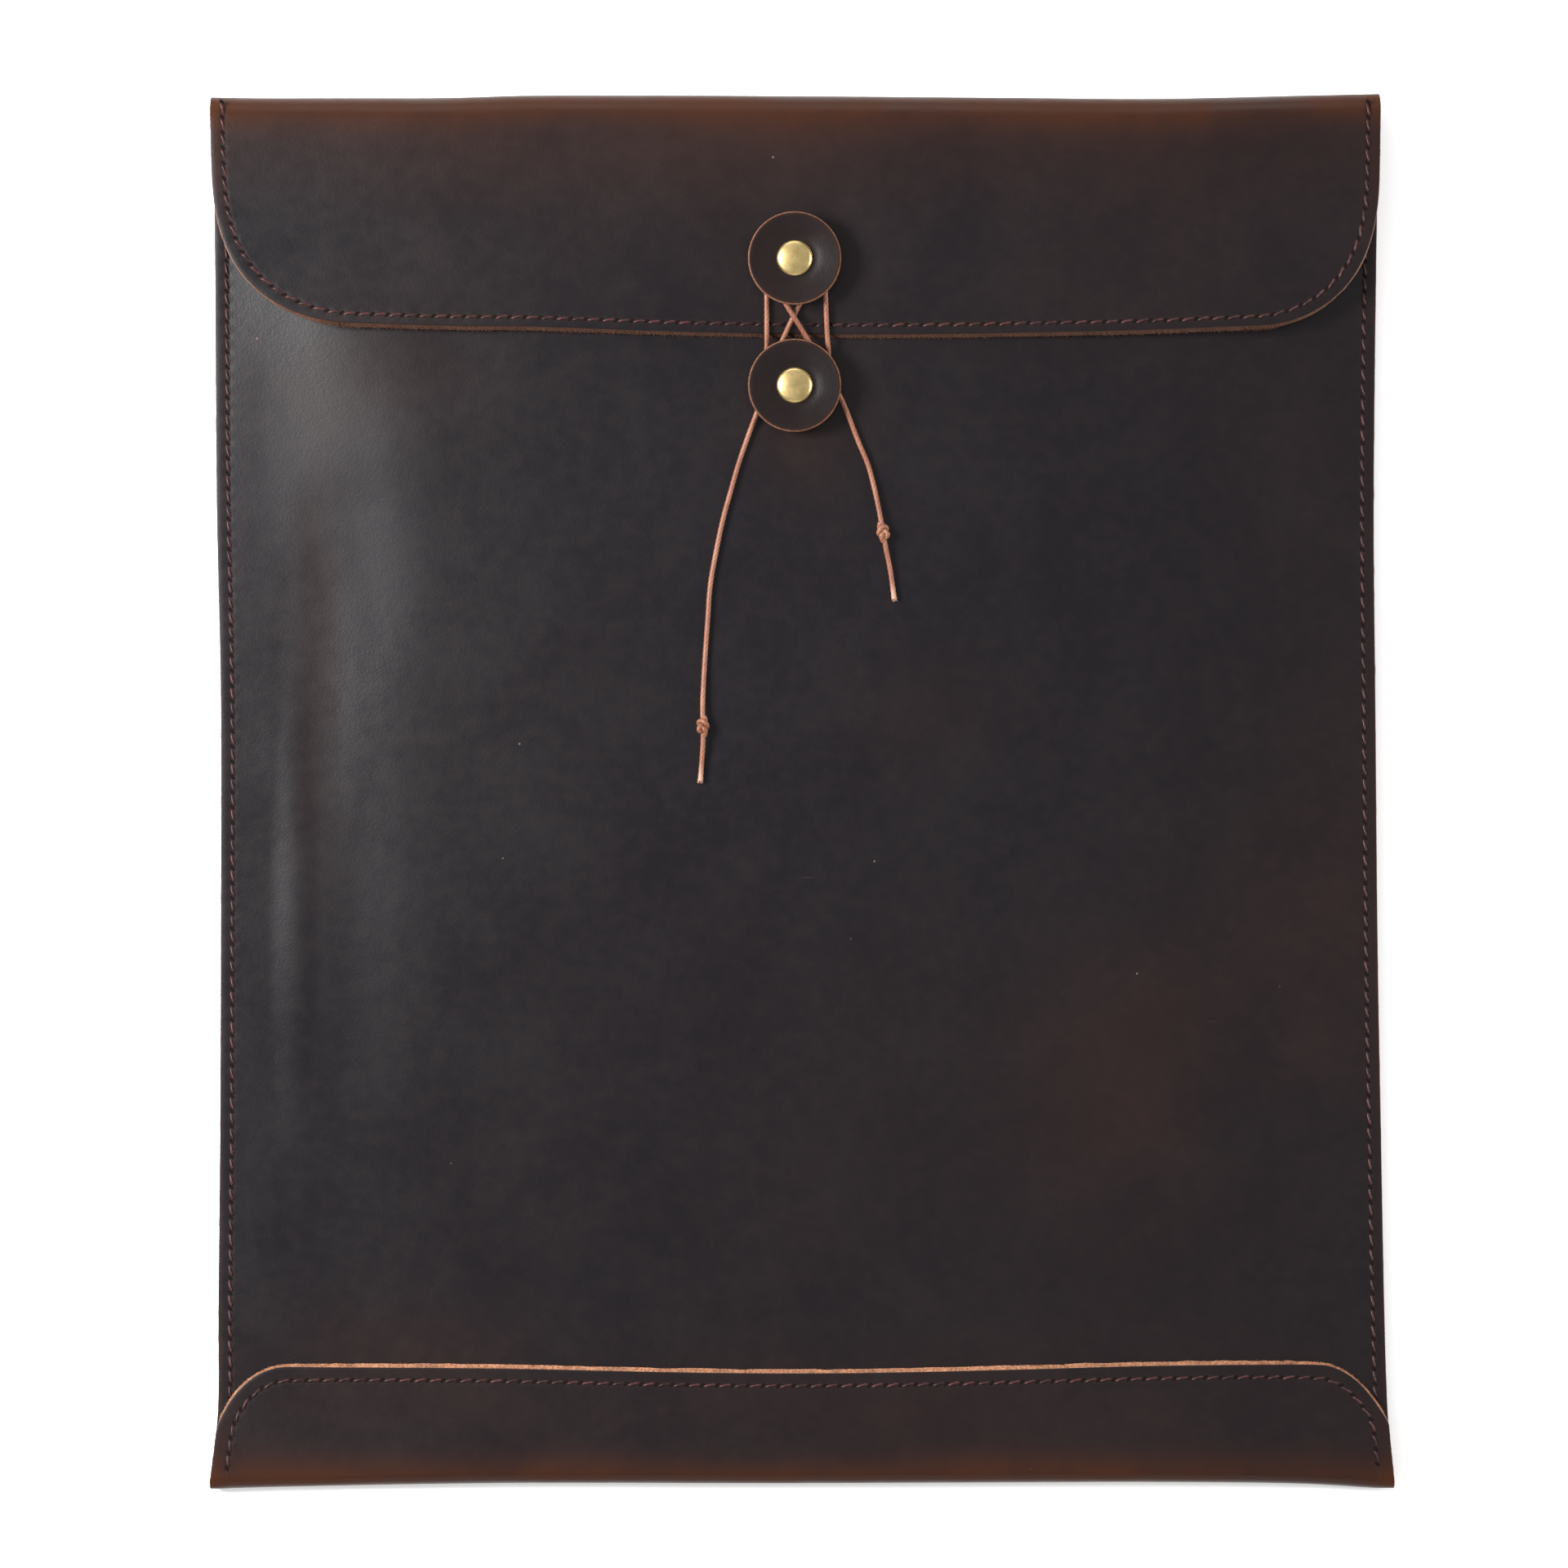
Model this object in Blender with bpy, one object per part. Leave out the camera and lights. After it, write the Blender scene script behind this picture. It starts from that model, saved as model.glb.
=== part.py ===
"""Leather document case lying on its back, shut by a cord wound round two buttons.

Metres, +Z up. The front faces +Z, the top fold lies at +Y, and the underside of the back
is the plane z = 0. The origin is the middle of the back's underside.
"""

import math

import bmesh
import bpy
import numpy as np
from mathutils import Matrix, Vector

# Leather and the clearances between pieces
LEATHER = 0.0018
LAY_GAP = 0.0003
HOLE_CLEARANCE = 0.0003
RIVET_FREE_GAP = 0.0004

# The case as a whole
CASE_LENGTH = 0.356
CASE_WIDTH = 0.298
SIDE_SWAY = 0.0046
FOLD_SWAY = 0.0015

# The bulge of the pocket over its contents
POCKET_DEPTH = 0.0054
SEAM_WIDTH = 0.004
SIDE_RAMP = 0.056
FOOT_RAMP = 0.120
MOUTH_RAMP = 0.018
FOOT_RISE_SHARE = 0.15
MOUTH_RISE_SHARE = 0.85

# Front panel
MOUTH_DROP = 0.012

# Flap
FLAP_LENGTH = 0.0587
FLAP_SAG = 0.0031
FLAP_LEAN = 0.0007
FLAP_EDGE_GAP = 0.0005
FLAP_EASE = 0.012
FLAP_FOLLOW = 0.25
FLAP_LEFT_ACROSS = 0.036
FLAP_LEFT_ALONG = 0.043
FLAP_LEFT_CURVE = 0.35
FLAP_RIGHT_ACROSS = 0.031
FLAP_RIGHT_ALONG = 0.042
FLAP_RIGHT_CURVE = 0.35

# Band along the foot
BAND_HEIGHT = 0.0317
BAND_DIP = 0.0023
BAND_LEFT_ACROSS = 0.018
BAND_LEFT_ALONG = 0.0175
BAND_LEFT_CURVE = 0.60
BAND_RIGHT_ACROSS = 0.0175
BAND_RIGHT_ALONG = 0.0156
BAND_RIGHT_CURVE = 0.80

# Buttons
UPPER_BUTTON_DROP = 0.0426
BUTTON_PITCH = 0.0322
BUTTON_SHIFT = -0.0004
DISC_DIAMETER = 0.0238
DISC_THICKNESS = 0.0019
DISC_DISH = 0.0006
DISC_EDGE_ROUND = 0.0004
SPACER_DIAMETER = 0.0110
SPACER_HEIGHT = 0.0033
RIVET_CAP_DIAMETER = 0.0091
RIVET_CAP_HEIGHT = 0.0011
RIVET_CAP_RIM = 0.0004
RIVET_SHANK_DIAMETER = 0.0030
RIVET_BACK_DIAMETER = 0.0080
RIVET_BACK_THICKNESS = 0.0007

# Cord and its knots
CORD_DIAMETER = 0.0015
CORD_POINT_STEP = 0.0043
KNOT_DIAMETER = 0.0038
KNOT_LENGTH = 0.0042

# Steps of the grids
CORNER_STEPS = 6
SHOULDER_STEPS = 2
SHOULDER_WIDTH = 0.010
MIDDLE_STEPS = 6
FLAP_STEPS = 10
FOLD_STEPS = 10
BACK_STEPS = 6
BAND_STEPS = 8
FRONT_STEPS = 26
DISC_SIDES = 32
RIVET_SIDES = 20
KNOT_SIDES = 14

# How far each side strays outward, as a share of SIDE_SWAY, at a share of the half length
SIDE_SECTIONS = {
    "along": (-1.00, -0.90, -0.75, -0.51, -0.23, 0.13, 0.41, 0.83, 1.00),
    "left": (0.33, -0.10, -0.13, -0.22, -0.26, -0.26, -0.04, 0.09, 0.24),
    "right": (1.00, 0.65, 0.46, 0.28, 0.09, -0.04, -0.13, 0.04, 0.13),
}

# How far each fold strays outward, as a share of FOLD_SWAY, at a share of the half width
FOLD_SECTIONS = {
    "across": (-1.00, -0.93, -0.80, -0.60, -0.45, 0.00, 0.40, 0.62, 0.87, 1.00),
    "top": (-0.28, -0.42, -0.42, -0.40, 0.00, -0.10, -0.42, -0.56, 0.00, 0.28),
    "bottom": (1.00, 0.75, 0.45, 0.10, -0.05, 0.00, -0.15, -0.20, 0.10, 0.85),
}

# Soft dents of the front panel. Places and reaches are shares of the half width and the
# half length, and the rise is a share of POCKET_DEPTH.
FRONT_DENTS = {
    "across": (-0.83, -0.90, 0.80, 0.30),
    "along": (0.30, -0.20, -0.30, -0.55),
    "reach_across": (0.05, 0.045, 0.14, 0.35),
    "reach_along": (0.42, 0.36, 0.28, 0.16),
    "rise": (-0.07, 0.05, -0.06, -0.05),
}

# Routes of the cord, chosen by hand along its centre line
WINDING_ROUTE = [
    (-0.0093, 0.0984, 0.0118),
    (-0.0082, 0.1013, 0.0120),
    (-0.0070, 0.1050, 0.0121),
    (-0.0053, 0.1098, 0.0123),
    (-0.0037, 0.1144, 0.0126),
    (-0.0024, 0.1173, 0.0127),
    (-0.0005, 0.1212, 0.0130),
    (0.0010, 0.1242, 0.0133),
    (0.0030, 0.1276, 0.0135),
    (0.0054, 0.1312, 0.0135),
    (0.0066, 0.1354, 0.0135),
    (0.0046, 0.1403, 0.0135),
    (-0.0004, 0.1424, 0.0135),
    (-0.0053, 0.1403, 0.0135),
    (-0.0074, 0.1354, 0.0135),
    (-0.0075, 0.1305, 0.0135),
    (-0.0075, 0.1258, 0.0134),
    (-0.0075, 0.1210, 0.0131),
    (-0.0075, 0.1165, 0.0126),
    (-0.0075, 0.1130, 0.0120),
    (-0.0076, 0.1080, 0.0106),
    (-0.0075, 0.1032, 0.0103),
    (-0.0056, 0.0982, 0.0103),
    (-0.0005, 0.0960, 0.0103),
    (0.0048, 0.0979, 0.0103),
    (0.0077, 0.1020, 0.0103),
    (0.0083, 0.1070, 0.0104),
    (0.0083, 0.1114, 0.0117),
    (0.0081, 0.1142, 0.0124),
    (0.0079, 0.1170, 0.0128),
    (0.0077, 0.1212, 0.0134),
    (0.0075, 0.1258, 0.0141),
    (0.0072, 0.1305, 0.0150),
    (0.0066, 0.1354, 0.01525),
    (0.0046, 0.1403, 0.01525),
    (-0.0004, 0.1424, 0.01525),
    (-0.0053, 0.1403, 0.01525),
    (-0.0074, 0.1354, 0.01525),
    (-0.0062, 0.1308, 0.01525),
    (-0.0043, 0.1270, 0.0152),
    (-0.0022, 0.1232, 0.0150),
    (-0.0008, 0.1210, 0.0147),
    (0.0014, 0.1176, 0.0137),
    (0.0034, 0.1143, 0.0127),
    (0.0058, 0.1101, 0.0122),
    (0.0082, 0.1059, 0.01215),
    (0.0097, 0.1031, 0.0120),
]
LEFT_CORD_ROUTE = [
    (-0.0094, 0.0981, 0.0117),
    (-0.0105, 0.0952, 0.0111),
    (-0.0124, 0.0901, 0.0104),
    (-0.0148, 0.0831, 0.01035),
    (-0.0168, 0.0761, 0.01035),
    (-0.0187, 0.0692, 0.01035),
    (-0.0206, 0.0602, 0.01035),
    (-0.0220, 0.0519, 0.01035),
    (-0.0226, 0.0436, 0.01035),
    (-0.0232, 0.0352, 0.01035),
    (-0.0237, 0.0269, 0.0105),
    (-0.0239, 0.0210, 0.0110),
    (-0.0238, 0.0163, 0.0114),
    (-0.0238, 0.0120, 0.0111),
    (-0.0241, 0.0075, 0.0105),
    (-0.0245, 0.0023, 0.01035),
]
RIGHT_CORD_ROUTE = [
    (0.0099, 0.1028, 0.0119),
    (0.0117, 0.0996, 0.0113),
    (0.0137, 0.0948, 0.0105),
    (0.0161, 0.0886, 0.01035),
    (0.0184, 0.0831, 0.01035),
    (0.0199, 0.0775, 0.0105),
    (0.0211, 0.0720, 0.0109),
    (0.0222, 0.0659, 0.0114),
    (0.0230, 0.0614, 0.0110),
    (0.0241, 0.0560, 0.0104),
    (0.0251, 0.0488, 0.01035),
]
LEFT_KNOT_POINT = 12
RIGHT_KNOT_POINT = 7

# Values that follow from the sizes above
HALF_LENGTH = CASE_LENGTH / 2
HALF_WIDTH = CASE_WIDTH / 2
HALF_LEATHER = LEATHER / 2
FLAP_GAP = RIVET_BACK_THICKNESS + LAY_GAP + RIVET_FREE_GAP
CORNER_WIDTH = max(FLAP_LEFT_ACROSS, FLAP_RIGHT_ACROSS, BAND_LEFT_ACROSS, BAND_RIGHT_ACROSS)
EDGE_WIDTH = CORNER_WIDTH + SHOULDER_STEPS * SHOULDER_WIDTH
BUTTON_X = BUTTON_SHIFT
UPPER_BUTTON_Y = HALF_LENGTH - UPPER_BUTTON_DROP
LOWER_BUTTON_Y = UPPER_BUTTON_Y - BUTTON_PITCH
SHANK_HOLE_RADIUS = RIVET_SHANK_DIAMETER / 2 + HOLE_CLEARANCE
CORD_HOLE_RADIUS = CORD_DIAMETER / 2 + HOLE_CLEARANCE

LEATHER_COLOUR = (0.030, 0.023, 0.022)
DISC_COLOUR = (0.027, 0.018, 0.018)
BRASS_COLOUR = (0.62, 0.45, 0.20)
CORD_COLOUR = (0.46, 0.20, 0.12)


def clear_scene():
    """Removes the objects that a new file starts with."""
    for obj in list(bpy.data.objects):
        bpy.data.objects.remove(obj, do_unlink=True)


def add_material(obj, colour, roughness, metallic=0.0):
    """Gives the object a material of its own."""
    material = bpy.data.materials.new(obj.name)
    material.use_nodes = True
    shader = material.node_tree.nodes["Principled BSDF"]
    shader.inputs["Base Color"].default_value = (*colour, 1.0)
    shader.inputs["Roughness"].default_value = roughness
    shader.inputs["Metallic"].default_value = metallic
    obj.data.materials.append(material)


def smooth_step(value):
    """Eases from 0 to 1 with level ends."""
    share = min(max(value, 0.0), 1.0)
    return share * share * (3 - 2 * share)


def read_table(table, place, column, at):
    """Reads one column of a table at a place between its rows, on a smooth curve."""
    places = table[place]
    values = table[column]
    last = len(places) - 1
    at = min(max(at, places[0]), places[last])
    low = max(i for i in range(last) if places[i] <= at)
    high = low + 1

    def slope(i):
        before = max(i - 1, 0)
        after = min(i + 1, last)
        return (values[after] - values[before]) / (places[after] - places[before])

    span = places[high] - places[low]
    t = (at - places[low]) / span
    rise = values[high] - values[low]
    start = slope(low) * span
    end = slope(high) * span
    return values[low] + start * t + (3 * rise - 2 * start - end) * t**2 + (start + end - 2 * rise) * t**3


def left_side(y):
    """The x of the case's left side."""
    return -HALF_WIDTH - SIDE_SWAY * read_table(SIDE_SECTIONS, "along", "left", y / HALF_LENGTH)


def right_side(y):
    """The x of the case's right side."""
    return HALF_WIDTH + SIDE_SWAY * read_table(SIDE_SECTIONS, "along", "right", y / HALF_LENGTH)


def top_line(x):
    """The y of the top fold's outside."""
    return HALF_LENGTH + FOLD_SWAY * read_table(FOLD_SECTIONS, "across", "top", x / HALF_WIDTH)


def bottom_line(x):
    """The y of the bottom fold's outside."""
    return -HALF_LENGTH - FOLD_SWAY * read_table(FOLD_SECTIONS, "across", "bottom", x / HALF_WIDTH)


def side_rise(x, y):
    """How far the pocket has risen from its side seams, from 0 to 1."""
    inside = min(x - left_side(y), right_side(y) - x) - SEAM_WIDTH
    return smooth_step(inside / SIDE_RAMP)


def foot_rise(y):
    """How far the pocket has risen from its foot."""
    climbed = smooth_step((y + HALF_LENGTH) / FOOT_RAMP)
    return FOOT_RISE_SHARE + (1 - FOOT_RISE_SHARE) * climbed


def mouth_rise(y):
    """How far the pocket still stands up near its mouth."""
    sunk = smooth_step(1 - (HALF_LENGTH - MOUTH_DROP - y) / MOUTH_RAMP)
    return 1 - (1 - MOUTH_RISE_SHARE) * sunk


def front_dents(x, y):
    """The sum of the soft dents at a place on the front panel."""
    total = 0.0
    for across, along, wide, tall, rise in zip(*FRONT_DENTS.values()):
        sideways = (x / HALF_WIDTH - across) / wide
        lengthways = (y / HALF_LENGTH - along) / tall
        inside = max(0.0, 1 - sideways**2 - lengthways**2)
        total += POCKET_DEPTH * rise * inside**2
    return total


def front_height(x, y):
    """The middle of the front panel's leather."""
    bulge = POCKET_DEPTH * side_rise(x, y) * foot_rise(y) * mouth_rise(y)
    return LEATHER + LAY_GAP + bulge + front_dents(x, y) + HALF_LEATHER


def band_height(x, y):
    """The middle of the band's leather, which lies on the front panel."""
    return front_height(x, y) + LEATHER + LAY_GAP


def corner_cut(offset, across, along, curve):
    """How much shorter a free edge is near a side.

    A curve of 0.5 is a quarter of an ellipse, and a smaller one makes the corner squarer.
    """
    share = min(max(1 - offset / across, 0.0), 1.0)
    return along * (1 - (1 - share * share) ** curve)


def corner_cuts(x, y, left_size, right_size):
    """The cut of whichever corner is nearer."""
    left = corner_cut(x - left_side(y), *left_size)
    right = corner_cut(right_side(y) - x, *right_size)
    return max(left, right)


def middle_share(x):
    """1 in the middle of the case and 0 at its sides."""
    return (1 + math.cos(math.pi * min(1.0, abs(x) / HALF_WIDTH))) / 2


def flap_edge(x, y):
    """The y of the flap's free edge in the column that passes (x, y)."""
    length = FLAP_LENGTH + FLAP_SAG * middle_share(x) + FLAP_LEAN * x / HALF_WIDTH
    left_size = (FLAP_LEFT_ACROSS, FLAP_LEFT_ALONG, FLAP_LEFT_CURVE)
    right_size = (FLAP_RIGHT_ACROSS, FLAP_RIGHT_ALONG, FLAP_RIGHT_CURVE)
    return top_line(x) - length + corner_cuts(x, y, left_size, right_size)


def band_edge(x, y):
    """The y of the band's free edge in the column that passes (x, y)."""
    height = BAND_HEIGHT - BAND_DIP * middle_share(x)
    left_size = (BAND_LEFT_ACROSS, BAND_LEFT_ALONG, BAND_LEFT_CURVE)
    right_size = (BAND_RIGHT_ACROSS, BAND_RIGHT_ALONG, BAND_RIGHT_CURVE)
    return bottom_line(x) + height - corner_cuts(x, y, left_size, right_size)


def flap_height(x, y):
    """The middle of the flap's leather, which dips a little at its sides and its free edge."""
    bulge = POCKET_DEPTH * (1 - FLAP_FOLLOW * (1 - side_rise(x, y)))
    from_edge = y - flap_edge(x, y)
    gap = FLAP_EDGE_GAP + (FLAP_GAP - FLAP_EDGE_GAP) * smooth_step(from_edge / FLAP_EASE)
    return LEATHER + LAY_GAP + bulge + LEATHER + gap + HALF_LEATHER


def grid_columns():
    """The columns of a panel: its side, and a distance from that side or a share of the middle."""
    angles = [math.pi / 2 * i / CORNER_STEPS for i in range(CORNER_STEPS + 1)]
    offsets = [CORNER_WIDTH * (1 - math.cos(angle)) for angle in angles]
    offsets += [CORNER_WIDTH + SHOULDER_WIDTH * (i + 1) for i in range(SHOULDER_STEPS)]
    left = [("left", offset) for offset in offsets]
    middle = [("middle", i / MIDDLE_STEPS) for i in range(1, MIDDLE_STEPS)]
    right = [("right", offset) for offset in reversed(offsets)]
    return left + middle + right


def column_x(column, y, inset=0.0):
    """The x of a column at a given y."""
    side, value = column
    if side == "left":
        return left_side(y) + max(value, inset)
    if side == "right":
        return right_side(y) - max(value, inset)
    start = left_side(y) + EDGE_WIDTH
    end = right_side(y) - EDGE_WIDTH
    return start + (end - start) * value


def half_turn(start, end, outside, steps):
    """A round fold in the plane of y and z, from one level to another, that reaches outside."""
    radius = abs(start - end) / 2
    height = (start + end) / 2
    way = 1 if outside > 0 else -1
    centre = outside - way * radius
    points = []
    for i in range(steps + 1):
        angle = math.pi * i / steps
        rise = (start - height) * math.cos(angle)
        points.append((centre + way * radius * math.sin(angle), height + rise))
    return points


def outer_column(column):
    """One column of the outer panel, from the flap's free edge round both folds to the band's."""
    top_x = column_x(column, HALF_LENGTH)
    bottom_x = column_x(column, -HALF_LENGTH)
    top = top_line(top_x) - HALF_LEATHER
    bottom = bottom_line(bottom_x) + HALF_LEATHER
    back = HALF_LEATHER
    top_fold = half_turn(flap_height(top_x, top), back, top, FOLD_STEPS)
    bottom_fold = half_turn(back, band_height(bottom_x, bottom), bottom, FOLD_STEPS)

    points = []
    flap_end = flap_edge(top_x, top)
    for i in range(FLAP_STEPS):
        y = flap_end + (top_fold[0][0] - flap_end) * i / FLAP_STEPS
        x = column_x(column, y)
        points.append((x, y, flap_height(x, y)))
    for y, z in top_fold:
        points.append((column_x(column, y), y, z))
    for i in range(1, BACK_STEPS):
        y = top_fold[-1][0] + (bottom_fold[0][0] - top_fold[-1][0]) * i / BACK_STEPS
        points.append((column_x(column, y), y, back))
    for y, z in bottom_fold:
        points.append((column_x(column, y), y, z))
    band_end = band_edge(bottom_x, bottom)
    for i in range(1, BAND_STEPS + 1):
        y = bottom_fold[-1][0] + (band_end - bottom_fold[-1][0]) * i / BAND_STEPS
        x = column_x(column, y)
        points.append((x, y, band_height(x, y)))
    return points


def front_column(column):
    """One column of the front panel, from its foot to its mouth."""
    bottom_x = column_x(column, -HALF_LENGTH)
    outside = bottom_line(bottom_x) + HALF_LEATHER
    bottom_fold = half_turn(HALF_LEATHER, band_height(bottom_x, outside), outside, FOLD_STEPS)
    foot = bottom_fold[0][0] + LAY_GAP
    mouth = HALF_LENGTH - MOUTH_DROP
    points = []
    for i in range(FRONT_STEPS + 1):
        y = foot + (mouth - foot) * i / FRONT_STEPS
        x = column_x(column, y, LAY_GAP)
        points.append((x, y, front_height(x, y)))
    return points


def add_sheet(name, columns):
    """A leather sheet of even thickness round the grid of its middle surface."""
    middle = np.array(columns)
    along = np.gradient(middle, axis=1)
    across = np.gradient(middle, axis=0)
    normal = np.cross(across, along)
    normal /= np.linalg.norm(normal, axis=2, keepdims=True)
    bm = bmesh.new()
    faces = []
    for way in (1, -1):
        skin = middle + way * HALF_LEATHER * normal
        faces.append([[bm.verts.new(point) for point in column] for column in skin])
    last_column = middle.shape[0] - 1
    last_row = middle.shape[1] - 1
    for i in range(last_column):
        for j in range(last_row):
            for skin in faces:
                bm.faces.new((skin[i][j], skin[i + 1][j], skin[i + 1][j + 1], skin[i][j + 1]))
    rim = [(i, 0) for i in range(last_column)]
    rim += [(last_column, j) for j in range(last_row)]
    rim += [(i, last_row) for i in range(last_column, 0, -1)]
    rim += [(0, j) for j in range(last_row, 0, -1)]
    for here, there in zip(rim, rim[1:] + rim[:1]):
        outer_start = faces[0][here[0]][here[1]]
        outer_end = faces[0][there[0]][there[1]]
        inner_start = faces[1][here[0]][here[1]]
        inner_end = faces[1][there[0]][there[1]]
        bm.faces.new((outer_start, outer_end, inner_end, inner_start))
    return finish_mesh(name, bm)


def finish_mesh(name, bm):
    """Turns a bmesh into an object with its faces pointing out."""
    bmesh.ops.recalc_face_normals(bm, faces=bm.faces)
    mesh = bpy.data.meshes.new(name)
    bm.to_mesh(mesh)
    bm.free()
    mesh.shade_smooth()
    mesh.set_sharp_from_angle(angle=math.radians(35))
    obj = bpy.data.objects.new(name, mesh)
    bpy.context.scene.collection.objects.link(obj)
    return obj


def turn_profile(name, profile, sides):
    """A solid turned about Z from a closed profile of (radius, height) points."""
    bm = bmesh.new()
    verts = [bm.verts.new((radius, 0.0, height)) for radius, height in profile]
    edges = [bm.edges.new(pair) for pair in zip(verts, verts[1:])]
    if profile[0][0] > 0 or profile[-1][0] > 0:
        edges.append(bm.edges.new((verts[-1], verts[0])))
    bmesh.ops.spin(
        bm,
        geom=verts + edges,
        cent=(0, 0, 0),
        axis=(0, 0, 1),
        angle=2 * math.pi,
        steps=sides,
        use_merge=True,
    )
    bmesh.ops.remove_doubles(bm, verts=bm.verts, dist=1e-6)
    return finish_mesh(name, bm)


def cut_shank_hole(panel, x, y, low, high):
    """Cuts the hole for a rivet's shank through one layer of leather."""
    bm = bmesh.new()
    bmesh.ops.create_cone(
        bm,
        cap_ends=True,
        segments=RIVET_SIDES,
        radius1=SHANK_HOLE_RADIUS,
        radius2=SHANK_HOLE_RADIUS,
        depth=high - low,
    )
    cutter = finish_mesh(panel.name + "_cutter", bm)
    cutter.location = (x, y, (low + high) / 2)
    cutter.hide_render = True
    cutter.display_type = "WIRE"
    cut = panel.modifiers.new("shank_hole", "BOOLEAN")
    cut.operation = "DIFFERENCE"
    cut.solver = "EXACT"
    cut.object = cutter


def build_outer_panel():
    """The back, the flap and the band, in one piece of leather."""
    panel = add_sheet("outer_panel", [outer_column(column) for column in grid_columns()])
    middle = flap_height(BUTTON_X, UPPER_BUTTON_Y)
    cut_shank_hole(panel, BUTTON_X, UPPER_BUTTON_Y, middle - LEATHER, middle + LEATHER)
    add_material(panel, LEATHER_COLOUR, 0.5)


def build_front_panel():
    """The front of the pocket."""
    panel = add_sheet("front_panel", [front_column(column) for column in grid_columns()])
    middle = front_height(BUTTON_X, LOWER_BUTTON_Y)
    cut_shank_hole(panel, BUTTON_X, LOWER_BUTTON_Y, middle - LEATHER, middle + LEATHER)
    add_material(panel, LEATHER_COLOUR, 0.5)


def dish_height(radius):
    """How far the dished disc has risen at a radius, flat over its post."""
    flat = SPACER_DIAMETER / 2
    share = max(0.0, radius - flat) / (DISC_DIAMETER / 2 - flat)
    return DISC_DISH * share**1.5


def build_disc(name):
    """A round leather button, dished, with rounded edges and a hole for its rivet."""
    rim = DISC_DIAMETER / 2
    shoulder = rim - DISC_EDGE_ROUND
    inner = SPACER_DIAMETER / 2
    radii = [SHANK_HOLE_RADIUS, inner, (inner * 2 + shoulder) / 3, (inner + shoulder * 2) / 3, shoulder]
    under = [(radius, dish_height(radius)) for radius in radii]
    side = [
        (rim, dish_height(rim) + DISC_EDGE_ROUND),
        (rim, dish_height(rim) + DISC_THICKNESS - DISC_EDGE_ROUND),
    ]
    over = [(radius, dish_height(radius) + DISC_THICKNESS) for radius in reversed(radii)]
    disc = turn_profile(name, under + side + over, DISC_SIDES)
    add_material(disc, DISC_COLOUR, 0.55)
    return disc


def build_spacer(name):
    """The plain leather post that holds a disc off the panel and takes the cord."""
    outside = SPACER_DIAMETER / 2
    profile = [
        (SHANK_HOLE_RADIUS, 0.0),
        (outside, 0.0),
        (outside, SPACER_HEIGHT),
        (SHANK_HOLE_RADIUS, SPACER_HEIGHT),
    ]
    spacer = turn_profile(name, profile, RIVET_SIDES)
    add_material(spacer, LEATHER_COLOUR, 0.6)
    return spacer


def build_rivet(name, grip):
    """A rivet turned in one: a flat back, a shank as long as its grip, and a domed cap."""
    cap = RIVET_CAP_DIAMETER / 2
    shank = RIVET_SHANK_DIAMETER / 2
    back = RIVET_BACK_DIAMETER / 2
    base = RIVET_BACK_THICKNESS + grip
    profile = [(0.0, 0.0), (back, 0.0), (back, RIVET_BACK_THICKNESS), (shank, RIVET_BACK_THICKNESS)]
    profile += [(shank, base), (cap, base), (cap, base + RIVET_CAP_RIM)]
    for share in (0.88, 0.65, 0.35):
        dome = (RIVET_CAP_HEIGHT - RIVET_CAP_RIM) * (1 - share * share)
        profile.append((cap * share, base + RIVET_CAP_RIM + dome))
    profile.append((0.0, base + RIVET_CAP_HEIGHT))
    rivet = turn_profile(name, profile, RIVET_SIDES)
    add_material(rivet, BRASS_COLOUR, 0.35, 1.0)
    return rivet


def build_button(prefix, y, panel_middle):
    """One button: its post, its disc and the rivet that holds both to the leather."""
    panel_top = panel_middle + HALF_LEATHER
    spacer_low = panel_top + LAY_GAP
    disc_low = spacer_low + SPACER_HEIGHT + LAY_GAP
    cap_low = disc_low + DISC_THICKNESS + LAY_GAP
    back_top = panel_middle - HALF_LEATHER - LAY_GAP
    spacer = build_spacer(prefix + "_spacer")
    spacer.location = (BUTTON_X, y, spacer_low)
    disc = build_disc(prefix + "_disc")
    disc.location = (BUTTON_X, y, disc_low)
    rivet = build_rivet(prefix + "_rivet", cap_low - back_top)
    rivet.location = (BUTTON_X, y, back_top - RIVET_BACK_THICKNESS)


def between_points(points, i, t):
    """A point on the smooth curve through the route, past its point i by a share t."""
    last = len(points) - 1
    p0, p1, p2, p3 = (points[min(max(k, 0), last)] for k in (i - 1, i, i + 1, i + 2))
    return 0.5 * (
        2 * p1
        + (p2 - p0) * t
        + (2 * p0 - 5 * p1 + 4 * p2 - p3) * t**2
        + (3 * p1 - p0 - 3 * p2 + p3) * t**3
    )


def even_points(route, step):
    """Points about one step apart along the smooth curve through the route."""
    points = [Vector(point) for point in route]
    fine = 12
    dense = [between_points(points, i, k / fine) for i in range(len(points) - 1) for k in range(fine)]
    dense.append(points[-1])
    lengths = [0.0]
    for here, there in zip(dense, dense[1:]):
        lengths.append(lengths[-1] + (there - here).length)
    count = max(2, round(lengths[-1] / step))
    xs = np.interp(np.linspace(0, lengths[-1], count + 1), lengths, [p.x for p in dense])
    ys = np.interp(np.linspace(0, lengths[-1], count + 1), lengths, [p.y for p in dense])
    zs = np.interp(np.linspace(0, lengths[-1], count + 1), lengths, [p.z for p in dense])
    return list(zip(xs, ys, zs))


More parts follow.
